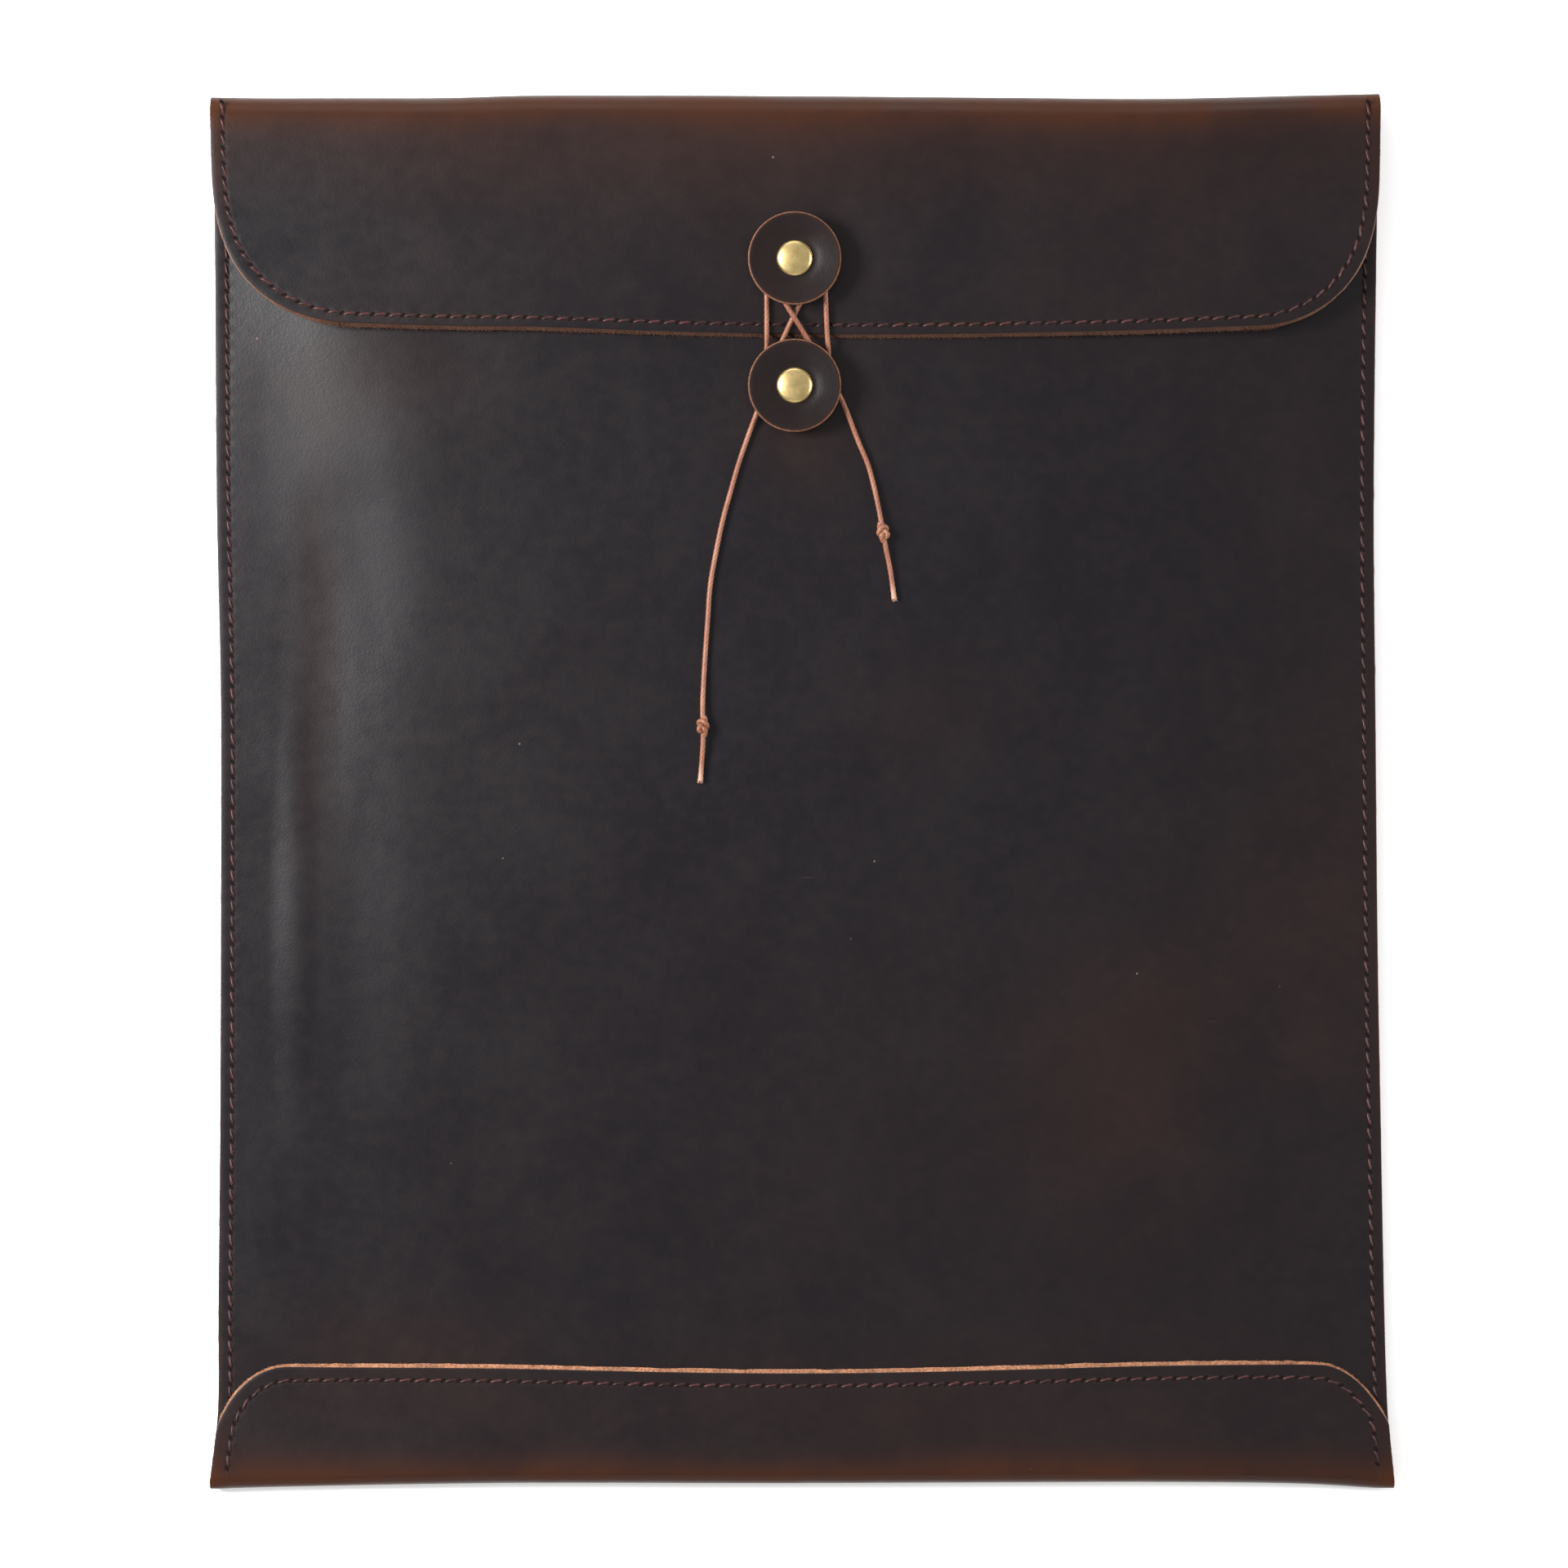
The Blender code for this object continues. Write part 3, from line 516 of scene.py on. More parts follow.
def seam_places(points, lines):
    """For each point the place along the nearest stitch line, in stitches, and its distance.

    The distance is positive on the left of a line, so all lines run with the leather's middle there.
    """
    best = np.full(len(points), 1e9)
    along = np.zeros(len(points))
    for line in lines:
        start = line[:-1]
        run = line[1:] - start
        run_square = np.sum(run * run, axis=1)
        for low in range(0, len(points), 4000):
            part = points[low : low + 4000]
            to = part[:, None, :] - start[None]
            t = np.clip(np.sum(to * run[None], axis=2) / run_square, 0, 1)
            gap = to - t[..., None] * run[None]
            square = np.sum(gap * gap, axis=2)
            nearest = np.argmin(square, axis=1)
            rows = np.arange(len(part))
            distance = np.sqrt(square[rows, nearest])
            chosen_run = run[nearest]
            chosen_gap = gap[rows, nearest]
            turn = chosen_run[:, 0] * chosen_gap[:, 1] - chosen_run[:, 1] * chosen_gap[:, 0]
            closer = distance < np.abs(best[low : low + 4000])
            best[low : low + 4000][closer] = (distance * np.where(turn < 0, -1, 1))[closer]
            along[low : low + 4000][closer] = (nearest + t[rows, nearest])[closer]
    return along, best


def circle(sides):
    return 2 * math.pi * np.arange(sides) / sides


def ring(across, over, sides):
    """Points round an ellipse, from its two half axes."""
    angles = circle(sides)
    return np.outer(np.cos(angles), across) + np.outer(np.sin(angles), over)


def tube_faces(first, rings, sides, closed=True):
    """Faces between rings of points that follow each other, and over both ends."""
    starts = [first + k * sides for k in range(rings)]
    faces = []
    for start in starts[:-1]:
        for m in range(sides):
            a = start + m
            b = start + (m + 1) % sides
            faces.append((a, b, b + sides, a + sides))
    if closed:
        faces += [tuple(range(start, start + sides)) for start in (starts[0], starts[-1])]
    return faces


def add_values(mesh, **values):
    """Gives every point of a mesh named values, each from a number or a row of them."""
    for name, numbers in values.items():
        layer = mesh.attributes.new(name, "FLOAT", "POINT")
        layer.data.foreach_set("value", np.full(len(mesh.vertices), numbers, np.float32))


def make_mesh(name, verts, faces, materials, slots=(), **values):
    """A mesh with its materials, the slot of each face and the values of each point."""
    mesh = bpy.data.meshes.new(name)
    mesh.from_pydata([tuple(v) for v in verts], [], faces)
    for material in materials:
        mesh.materials.append(material)
    if len(slots):
        mesh.polygons.foreach_set("material_index", slots)
    add_values(mesh, **values)
    return mesh


def add_piece(mesh, node=None):
    """Makes a riding piece of a mesh, with its faces pointing out. It may take a solid's place."""
    bm = bmesh.new()
    bm.from_mesh(mesh)
    bmesh.ops.recalc_face_normals(bm, faces=bm.faces)
    bm.to_mesh(mesh)
    bm.free()
    mesh.shade_smooth()
    mesh.set_sharp_from_angle(angle=math.radians(50))
    piece = bpy.data.objects.new(mesh.name, mesh)
    bpy.context.scene.collection.objects.link(piece)
    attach(piece, "root")
    if node:
        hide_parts(node)
    return piece


def rim_profile(bevel, steps_round=3):
    """Points from the grain side round a cut edge to the flesh side: outward, and up."""
    half = HALF_LEATHER
    grain_end = RIM - bevel
    points = []
    for i in range(steps_round + 1):
        angle = math.pi / 2 * i / steps_round
        out = grain_end - EDGE_ROUND + EDGE_ROUND * math.sin(angle)
        points.append((out, half - EDGE_ROUND + EDGE_ROUND * math.cos(angle)))
    for share in (0.3, 0.6, 0.85):
        out = grain_end + bevel * share
        points.append((out, half - EDGE_ROUND - (LEATHER - 2 * EDGE_ROUND) * share))
    points.append((RIM, -half + EDGE_ROUND))
    points.append((RIM - EDGE_ROUND, -half))
    return points


def add_sheet(name, node, middle, edges, seams, back_seams, wear):
    """A leather sheet with cut edges round the grid of its middle surface.

    Its slots are grain, flesh and cut edge. It carries a seam map and the values of its looks.
    """
    along = np.gradient(middle, axis=1)
    across = np.gradient(middle, axis=0)
    normal = unit(np.cross(across, along))
    columns, rows = middle.shape[:2]
    skins = [middle + HALF_LEATHER * normal, middle - HALF_LEATHER * normal]
    count = columns * rows
    rim = [(i, 0) for i in range(columns - 1)]
    rim += [(columns - 1, j) for j in range(rows - 1)]
    rim += [(i, rows - 1) for i in range(columns - 1, 0, -1)]
    rim += [(0, j) for j in range(rows - 1, 0, -1)]
    rim = np.array(rim)
    rim_middle = middle[rim[:, 0], rim[:, 1]]
    rim_normal = normal[rim[:, 0], rim[:, 1]]
    tangent = unit(np.roll(rim_middle, -1, axis=0) - np.roll(rim_middle, 1, axis=0))
    outward = unit(np.cross(tangent, rim_normal))
    inner = np.clip(rim, 1, [columns - 2, rows - 2])
    towards = middle[inner[:, 0], inner[:, 1]] - rim_middle
    outward *= np.where(np.sum(outward * towards, axis=1) > 0, -1, 1)[:, None]

    bevel, light = edges(rim, columns, rows)
    rough = np.random.default_rng(11).normal(0, 0.00003, len(rim))
    profiles = np.array([rim_profile(value) for value in bevel])
    rings = []
    for k in range(profiles.shape[1]):
        out, up = profiles[:, k].T
        if 3 < k < 8:
            out = out + rough * (1 + light * 2)
        rings.append(rim_middle + out[:, None] * outward + up[:, None] * rim_normal)
    verts = np.concatenate([skins[0].reshape(-1, 3), skins[1].reshape(-1, 3), *rings])

    def grid_index(i, j, skin):
        return skin * count + i * rows + j

    i, j = np.meshgrid(np.arange(columns - 1), np.arange(rows - 1), indexing="ij")
    corners = [(i, j), (i + 1, j), (i + 1, j + 1), (i, j + 1)]
    top = np.stack([grid_index(a, b, 0).ravel() for a, b in corners], axis=1)
    under = np.stack([grid_index(a, b, 1).ravel() for a, b in corners], axis=1)[:, ::-1]
    rim_top = grid_index(rim[:, 0], rim[:, 1], 0)
    rim_under = grid_index(rim[:, 0], rim[:, 1], 1)
    size = len(rim)
    loops = [rim_top] + [2 * count + k * size + np.arange(size) for k in range(len(rings))] + [rim_under]
    strips = []
    strip_slots = []
    for k, (here, there) in enumerate(zip(loops, loops[1:])):
        strips.append(np.stack([here, there, np.roll(there, -1), np.roll(here, -1)], axis=1))
        strip_slots += [0 if k < 3 else 1 if k == len(loops) - 2 else 2] * size
    faces = np.concatenate([top, under, *strips]).tolist()
    slots = [0] * len(top) + [1] * len(under) + strip_slots

    edge_light = np.concatenate([np.zeros(2 * count), np.tile(light, len(rings))])
    mesh = make_mesh(name, verts, faces, (GRAIN, FLESH, CUT), slots)
    add_values(mesh, wear=wear(verts), warmth=warmth(verts), dull=dullness(verts), edge_light=edge_light)
    add_seam_map(mesh, verts, seams, back_seams)
    add_piece(mesh, node)
    return rim_middle, rim_normal, outward, bevel, light


def add_seam_map(mesh, verts, seams, back_seams):
    """A UV map with the place along the nearest stitch line and the distance from it."""
    along, distance = seam_places(verts[:, :2], seams)
    back = verts[:, 2] < LEATHER * 1.2
    if back_seams:
        along[back], distance[back] = seam_places(verts[back][:, :2], back_seams)
    loops = np.zeros(len(mesh.loops), np.int64)
    mesh.loops.foreach_get("vertex_index", loops)
    layer = mesh.uv_layers.new(name="seam")
    layer.data.foreach_set("uv", np.stack([along[loops], distance[loops] / STITCH_PITCH], axis=1).ravel())


# Materials
class Nodes:
    """A short way to write a shader's nodes."""

    def __init__(self, name):
        self.material = bpy.data.materials.new(name)
        self.material.use_nodes = True
        self.tree = self.material.node_tree
        self.shader = self.tree.nodes["Principled BSDF"]
        self.place = self.add("ShaderNodeTexCoord").outputs["Object"]

    def put(self, socket, value):
        if isinstance(value, bpy.types.NodeSocket):
            self.tree.links.new(value, socket)
        else:
            socket.default_value = value

    def add(self, kind, inputs=(), **settings):
        """A node with its settings, and the values or links of its inputs."""
        made = self.tree.nodes.new(kind)
        for key, value in settings.items():
            setattr(made, key, value)
        for key, value in dict(inputs).items():
            self.put(made.inputs[key], value)
        return made

    def math(self, operation, a, b=0.0, clamp=False):
        return self.add("ShaderNodeMath", {0: a, 1: b}, operation=operation, use_clamp=clamp).outputs[0]

    def plus(self, a, b, clamp=False):
        return self.math("ADD", a, b, clamp)

    def times(self, a, b, clamp=False):
        return self.math("MULTIPLY", a, b, clamp)

    def stretch(self, scale, turn):
        """Places stretched by a scale and turned by degrees."""
        turned = (0.0, 0.0, math.radians(turn))
        inputs = {"Vector": self.place, "Rotation": turned, "Scale": scale}
        return self.add("ShaderNodeMapping", inputs).outputs[0]

    def noise(self, scale, detail=3.0, rough=0.5, bend=0.0, place=None):
        inputs = {"Vector": place or self.place, "Scale": scale, "Detail": detail}
        inputs.update({"Roughness": rough, "Distortion": bend})
        return self.add("ShaderNodeTexNoise", inputs).outputs["Fac"]

    def cells(self, scale):
        """The distance from the middle of the nearest cell."""
        inputs = {"Vector": self.place, "Scale": scale}
        return self.add("ShaderNodeTexVoronoi", inputs, feature="F1").outputs["Distance"]

    def ramp(self, value, low, high, to_low=0.0, to_high=1.0):
        inputs = {"Value": value, "From Min": low, "From Max": high, "To Min": to_low, "To Max": to_high}
        return self.add("ShaderNodeMapRange", inputs, interpolation_type="SMOOTHSTEP").outputs["Result"]

    def mix(self, share, a, b):
        """A mix of two colours, each a socket or three numbers."""
        a, b = ((*colour, 1.0) if isinstance(colour, tuple) else colour for colour in (a, b))
        return self.add("ShaderNodeMix", {0: share, 6: a, 7: b}, data_type="RGBA").outputs[2]

    def attribute(self, name):
        return self.add("ShaderNodeAttribute", attribute_name=name).outputs["Fac"]

    def bump(self, height):
        """Bends the surface by a height in metres."""
        made = self.add("ShaderNodeBump", {"Strength": 1.0, "Distance": 1.0, "Height": height})
        self.put(self.shader.inputs["Normal"], made.outputs[0])

    def set(self, **values):
        for key, value in values.items():
            self.put(self.shader.inputs[key.replace("_", " ")], value)


def grain_leather(name, dark, warm, red, seams):
    """Waxed pull-up leather: nearly black, warm where it is bent, with grain and small scars."""
    n = Nodes(name)
    patches = n.noise(8.0, 5.0, 0.55, 0.6)
    cloudy = n.noise(38.0, 4.0, 0.6, 0.3)
    fine = n.noise(260.0, 4.0, 0.6)
    wear = n.attribute("wear")
    uneven = n.ramp(n.plus(patches, n.times(cloudy, 0.35)), 0.45, 0.90)
    warm_share = n.times(n.attribute("warmth"), n.plus(0.45, uneven))
    warm_share = n.plus(warm_share, n.times(uneven, 0.05), clamp=True)
    colour = n.mix(warm_share, dark, warm)
    worn = n.times(wear, n.ramp(cloudy, 0.2, 0.7, 0.6, 1.15), clamp=True)
    colour = n.mix(worn, colour, red)
    colour = n.mix(n.ramp(fine, 0.35, 0.75, 0.0, 0.09), colour, warm)

    scar_lines = n.noise(1.0, 2.0, 0.5, 0.0, n.stretch((26.0, 900.0, 26.0), 38.0))
    scar_places = n.noise(14.0, 2.0, 0.5)
    scars = n.times(n.ramp(scar_lines, 0.76, 0.80), n.ramp(scar_places, 0.60, 0.68))
    specks = n.ramp(n.cells(95.0), 0.035, 0.02)
    speck_places = n.ramp(n.noise(30.0, 1.0), 0.60, 0.64)
    marks = n.plus(scars, n.times(specks, speck_places), clamp=True)
    colour = n.mix(n.times(marks, 0.5), colour, (0.20, 0.13, 0.10))

    pores = n.times(n.cells(1500.0), 0.000010)
    grain = n.times(n.noise(1300.0, 3.0, 0.6), 0.000014)
    creases = n.noise(1.0, 3.0, 0.6, 0.8, n.stretch((330.0, 900.0, 300.0), 24.0))
    crease_places = n.ramp(n.noise(16.0, 2.0), 0.42, 0.62)
    creases = n.times(n.times(creases, crease_places), 0.000022)
    height = n.plus(n.plus(pores, grain), creases)
    height = n.plus(height, n.times(n.noise(70.0, 3.0), 0.00008))
    if seams:
        uv = n.add("ShaderNodeUVMap", uv_map="seam").outputs[0]
        parts = n.add("ShaderNodeSeparateXYZ")
        n.put(parts.inputs[0], uv)
        away = n.math("ABSOLUTE", parts.outputs[1])
        groove = n.ramp(away, 0.34, 0.06)
        wave = n.math("COSINE", n.times(parts.outputs[0], 2 * math.pi))
        pucker = n.times(n.times(wave, n.ramp(away, 0.55, 0.10)), -0.00002)
        height = n.plus(height, n.times(groove, -0.00003))
        height = n.plus(height, pucker)
        colour = n.mix(n.times(groove, 0.45), colour, (0.012, 0.006, 0.006))
    n.bump(height)
    rough = n.ramp(n.plus(cloudy, n.times(fine, 0.5)), 0.45, 1.05, 0.31, 0.40)
    if seams:
        rough = n.plus(rough, n.times(n.attribute("dull"), 0.055))
    waxed = n.math("SUBTRACT", 1.0, n.times(worn, 1.2), clamp=True)
    n.set(Base_Color=colour, Roughness=rough, Specular_IOR_Level=n.times(waxed, 0.25))
    return n.material


def flesh_leather():
    """The rough inner side of the leather."""
    n = Nodes("leather_flesh")
    soft = n.noise(40.0, 4.0, 0.6)
    fibre = n.noise(1400.0, 4.0, 0.7)
    colour = n.mix(soft, (0.10, 0.052, 0.034), (0.17, 0.095, 0.062))
    colour = n.mix(n.ramp(fibre, 0.4, 0.7, 0.0, 0.4), colour, (0.24, 0.15, 0.10))
    n.bump(n.times(fibre, 0.00012))
    n.set(Base_Color=colour, Roughness=0.92, Specular_IOR_Level=0.2)
    return n.material


def cut_leather():
    """The raw cut edge, tan where it is fresh and dark where it is rubbed with wax."""
    n = Nodes("leather_cut_edge")
    fibre = n.noise(1500.0, 4.0, 0.7)
    patch = n.noise(180.0, 3.0, 0.6)
    dark = n.mix(patch, (0.022, 0.010, 0.007), (0.070, 0.028, 0.015))
    tan = n.mix(n.ramp(fibre, 0.3, 0.7), (0.20, 0.070, 0.030), (0.56, 0.28, 0.16))
    light = n.times(n.attribute("edge_light"), n.ramp(patch, 0.25, 0.65, 0.65, 1.15), clamp=True)
    colour = n.mix(light, dark, tan)
    n.bump(n.times(fibre, 0.00010))
    n.set(Base_Color=colour, Roughness=0.85, Specular_IOR_Level=0.25)
    return n.material


def thread_material():
    """Dark brown waxed thread."""
    n = Nodes("stitch_thread")
    tone = n.noise(240.0, 3.0, 0.6)
    colour = n.mix(n.ramp(tone, 0.3, 0.7), (0.018, 0.0044, 0.0048), (0.060, 0.0172, 0.0168))
    n.bump(n.times(n.noise(2600.0, 2.0), 0.00003))
    n.set(Base_Color=colour, Roughness=0.42, Specular_IOR_Level=0.3)
    return n.material


def hole_shade_material():
    """Painted shade: a near-black cap over the mouth of a stitch hole, standing in for the shadow inside
    it.
    """
    n = Nodes("stitch_hole_shade")
    tone = n.noise(700.0, 2.0)
    colour = n.mix(tone, (0.004, 0.002, 0.002), (0.010, 0.005, 0.005))
    n.set(Base_Color=colour, Roughness=0.95, Specular_IOR_Level=0.1)
    return n.material


def brass_material():
    """Satin brass with fine turning marks."""
    n = Nodes("satin_brass")
    tone = n.noise(420.0, 3.0, 0.6)
    colour = n.mix(tone, (0.46, 0.335, 0.130), (0.57, 0.435, 0.205))
    brushed = n.noise(1.0, 2.0, 0.5, 0.0, n.stretch((5200.0, 700.0, 700.0), 20.0))
    n.bump(n.times(brushed, 0.000001))
    n.set(Base_Color=colour, Metallic=1.0, Roughness=n.ramp(tone, 0.2, 0.8, 0.30, 0.40))
    return n.material


def cord_material():
    """Waxed tan cord, with painted shade: its colour is darker in the furrows between its strands."""
    n = Nodes("waxed_cord")
    tone = n.noise(160.0, 4.0, 0.6)
    fibre = n.noise(2400.0, 3.0, 0.6)
    colour = n.mix(n.ramp(tone, 0.3, 0.75), (0.175, 0.056, 0.026), (0.29, 0.120, 0.064))
    # Painted shade: the furrows between the strands are darkened in the cord's colour
    furrow = n.times(n.attribute("furrow"), 0.75, clamp=True)
    colour = n.mix(furrow, colour, (0.10, 0.030, 0.015))
    colour = n.mix(n.times(n.attribute("pale"), 0.4, clamp=True), colour, (0.62, 0.40, 0.28))
    n.bump(n.times(fibre, 0.00004))
    n.set(Base_Color=colour, Roughness=0.5)
    return n.material


def floor_material():
    n = Nodes("pale_floor")
    tone = n.noise(3.0, 2.0)
    colour = n.mix(tone, (0.93, 0.93, 0.93), (0.95, 0.95, 0.95))
    n.set(Base_Color=colour, Roughness=0.9, Specular_IOR_Level=0.1)
    n.set(Emission_Color=(1.0, 1.0, 1.0, 1.0), Emission_Strength=0.18)
    return n.material


CASE_TONES = ((0.0027, 0.0020, 0.0036), (0.0220, 0.0075, 0.0042), (0.0665, 0.0210, 0.0072))
BUTTON_TONES = ((0.0030, 0.0014, 0.0014), (0.0085, 0.0032, 0.0028), (0.080, 0.028, 0.015))
GRAIN = grain_leather("case_grain", *CASE_TONES, seams=True)
DISC_GRAIN = grain_leather("button_grain", *BUTTON_TONES, seams=False)
FLESH = flesh_leather()
CUT = cut_leather()
THREAD = thread_material()
HOLE_SHADE = hole_shade_material()
BRASS = brass_material()
CORD = cord_material()


# Leather panels
def wave_share(x, seed):
    return 0.5 + 0.5 * np.sin(x * 47 + seed) * np.sin(x * 19 + seed * 2.3)


def warmth(verts):
    """How much brown shows through the wax, from the table of patches."""
    x, y, _ = verts.T
    total = np.zeros(len(verts))
    for centre_x, centre_y, reach_x, reach_y, strength in WARM_PATCHES:
        square = ((x - centre_x) / reach_x) ** 2 + ((y - centre_y) / reach_y) ** 2
        total += strength * np.exp(-square)
    return np.clip(total, 0, 1)


def dullness(verts):
    """How far handling has dulled the wax: most at the upper left of the front."""
    x, y, _ = verts.T
    return np.exp(-(((x + 0.122) / 0.040) ** 2) - ((y - 0.076) / 0.034) ** 2)


def outer_wear(verts):
    """How bent and rubbed the leather is: at the folds, and a little at the sides."""
    x, y, _ = verts.T
    top = smooth_step(1 - (top_line(x) - y) / (0.0130 + 0.007 * wave_share(x, 1.0)))
    bottom = smooth_step(1 - (y - bottom_line(x)) / (0.012 + 0.006 * wave_share(x, 2.0)))
    sides = smooth_step(1 - side_distance(x, y) / 0.006)
    spread = smooth_step(1 - (top_line(x) - y) / 0.036)
    return np.clip(0.44 * top**1.7 + 0.11 * spread + 0.48 * bottom**2.0 + 0.10 * sides, 0, 1)


def front_wear(verts):
    x, y, _ = verts.T
    return 0.12 * smooth_step(1 - side_distance(x, y) / 0.002)


def outer_edges(rim, columns, rows):
    """How far the cut slants and how light it is, at each point of the rim.

    It slants along the flap and the band, less round their corners. It is pale along the band,
    tan round the flap's corners and dark elsewhere.
    """
    from_end = np.minimum(rim[:, 0], columns - 1 - rim[:, 0])
    fade = smooth_step((from_end - 1) / 7)
    turned = smooth_step((from_end - 12) / 26)
    flap = rim[:, 1] == 0
    band = rim[:, 1] == rows - 1
    band_slant = fade * (0.35 + 0.65 * turned) * (BAND_BEVEL - EDGE_BEVEL)
    flap_slant = fade * (0.20 + 0.80 * turned) * (FLAP_BEVEL - EDGE_BEVEL)
    light = 0.10 + fade * (0.56 * band + (0.18 - 0.24 * turned) * flap)
    return EDGE_BEVEL + band_slant * band + flap_slant * flap, light


def even_edges(rim, columns, rows):
    return np.full(len(rim), EDGE_BEVEL), np.full(len(rim), 0.12)


side_seams = (LEFT_LINE[::-1], RIGHT_LINE)
flap_and_band_seams = (FLAP_LINE, BAND_LINE[::-1])
outer_middle = outer_grid(column_places(RIM, 36, 0.0030), RIM)
front_middle = front_grid(column_places(RIM, 56, 0.0024), RIM)
outer_rim = add_sheet(
    "outer_leather", "outer_panel", outer_middle, outer_edges, flap_and_band_seams, side_seams, outer_wear
)
add_sheet("front_leather", "front_panel", front_middle, even_edges, side_seams, (), front_wear)


# Stitches
def grain_side(height, line):
    """Points on the grain side along a line in plan, and the normals there."""
    step = 0.0004
    x, y = line.T
    slope_x = (height(x + step, y) - height(x - step, y)) / (2 * step)
    slope_y = (height(x, y + step) - height(x, y - step)) / (2 * step)
    normal = unit(np.stack([-slope_x, -slope_y, np.ones_like(x)], axis=-1))
    point = np.stack([x, y, height(x, y)], axis=-1) + HALF_LEATHER * normal
    return point, normal


def back_side(line):
    """Points on the underside of the back along a line in plan, and the normals there."""
    level = np.zeros(len(line))
    return np.stack([*line.T, level], axis=-1), np.stack([level, level, level - 1], axis=-1)


# One stitch's centre line: a share of its length, of its slant across the seam and of its rise
STITCH_SHAPE = (
    (0.15, -0.62, -0.80),
    (0.17, -0.56, 0.10),
    (0.23, -0.44, 0.70),
    (0.33, -0.20, 0.95),
    (0.44, 0.05, 0.86),
    (0.56, 0.26, 0.50),
    (0.68, 0.42, 0.05),
    (0.79, 0.50, -0.50),
    (0.86, 0.52, -0.95),
)


def build_stitches(name, points, normals, sink=0.0):
    """A row of slanted two-ply stitches, with a small hole between each two capped in near-black painted
    shade.
    """
    spread = random.Random(name)
    verts = []
    faces = []
    sides = 8
    for index in range(len(points) - 1):
        start = points[index]
        end = points[index + 1]
        along = unit(end - start)
        up = unit(normals[index] + normals[index + 1])
        side = np.cross(up, along)
        length = np.linalg.norm(end - start)
        radius = THREAD_RADIUS * spread.uniform(0.92, 1.08)
        slant = STITCH_SLANT * spread.uniform(0.7, 1.25)
        rise = radius * spread.uniform(0.85, 1.1)
        faces += tube_faces(len(verts), len(STITCH_SHAPE), sides)
        centres = [
            start + along * length * t + side * slant * s + up * (rise * u - sink)
            for t, s, u in STITCH_SHAPE
        ]
        for k, centre in enumerate(centres):
            direction = unit(centres[min(k + 1, len(centres) - 1)] - centres[max(k - 1, 0)])
            across = unit(np.cross(up, direction) if abs(np.dot(up, direction)) < 0.95 else side)
            over = np.cross(direction, across)
            ply = 1 + 0.13 * np.cos(2 * (circle(sides) - 1.1 * k))
            verts.extend(centre + radius * ply[:, None] * ring(across, 0.85 * over, sides))
    threads = len(faces)
    for point, normal, along in zip(points, normals, unit(np.gradient(points, axis=0))):
        side = np.cross(normal, along)
        long_way = unit(along + 0.9 * side)
        short_way = np.cross(normal, long_way)
        # Each hole is a short closed tube; its top cap, just above the grain, is painted near-black as
        # the hole's shade
        faces += tube_faces(len(verts), 2, 10)
        for level in (0.00002, -HOLE_DEPTH):
            mouth = ring(HOLE_LENGTH / 2 * long_way, HOLE_WIDTH / 2 * short_way, 10)
            verts.extend(point + level * normal + mouth)
    slots = [0] * threads + [1] * (len(faces) - threads)
    add_piece(make_mesh(name, verts, faces, (THREAD, HOLE_SHADE), slots))


build_stitches("stitches_flap", *grain_side(flap_height, FLAP_LINE))
build_stitches("stitches_band", *grain_side(band_height, BAND_LINE))
build_stitches("stitches_left", *grain_side(front_height, LEFT_LINE))
build_stitches("stitches_right", *grain_side(front_height, RIGHT_LINE))
build_stitches("stitches_back_left", *back_side(LEFT_LINE), 0.0003)
build_stitches("stitches_back_right", *back_side(RIGHT_LINE), 0.0003)


# Fibres that stand out of the cut edges
def build_fibres(name, low, high, count, length, tone):
    """Short loose fibres along the outer panel's cut edges that are lighter than low, up to high."""
    middle, normal, outward, bevel, light = outer_rim
    chosen = list(np.where((light > low) & (light <= high))[0])
    spread = random.Random(name)
    verts = []
    faces = []
    for _ in range(count):
        at = spread.choice(chosen)
        if at + 1 >= len(middle):
            continue
        t = spread.random()
        level = spread.uniform(-0.9, 0.75)
        base = middle[at] * (1 - t) + middle[at + 1] * t
        out = RIM - bevel[at] * (0.5 + level * 0.5)
        base = base + out * outward[at] + level * HALF_LEATHER * normal[at]
        along = unit(middle[at + 1] - middle[at])
        way = outward[at] + spread.uniform(-1.0, 1.0) * along + spread.uniform(-0.15, 0.5) * normal[at]
        way = unit(way)
        bend = spread.uniform(-0.4, 0.4) * along + spread.uniform(-0.3, 0.3) * normal[at]
        reach = length * spread.uniform(0.3, 1.0)
        thick = spread.uniform(0.00002, 0.000045)
        side = unit(np.cross(way, normal[at] + 0.01 * along))
        over = np.cross(side, way)
        faces += tube_faces(len(verts), 3, 3)
        for share, width in ((-0.15, 1.0), (0.5, 0.8), (1.0, 0.3)):
            centre = base + way * reach * share + bend * reach * max(share, 0) ** 2
            verts.extend(centre + thick * width * ring(side, over, 3))
    add_piece(make_mesh(name, verts, faces, (CUT,), edge_light=tone))


build_fibres("band_fibres", 0.5, 1.0, 1500, 0.00055, 0.75)
build_fibres("flap_fibres", 0.0, 0.095, 3600, 0.00085, 0.06)


# Buttons
def turn(name, profile, sides, slots, materials, place):
    """A turned mesh from a profile of (radius, height), with one slot for each run of it."""
    x_way, y_way, up = np.eye(3)
    verts = []
    for radius, height in profile:
        verts.extend(np.array(place) + radius * ring(x_way, y_way, sides) + height * up)
    faces = tube_faces(0, len(profile), sides, closed=False)
    mesh = make_mesh(name, verts, faces, materials, np.repeat(slots, sides).tolist())
    bm = bmesh.new()
    bm.from_mesh(mesh)
    bmesh.ops.remove_doubles(bm, verts=bm.verts, dist=1e-7)
    bm.to_mesh(mesh)
    bm.free()
    return mesh


def stand(node):
    """The middle of the underside of a solid's box, and its height."""
    low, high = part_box(node)
    return ((low[0] + high[0]) / 2, (low[1] + high[1]) / 2, low[2]), high[2] - low[2]


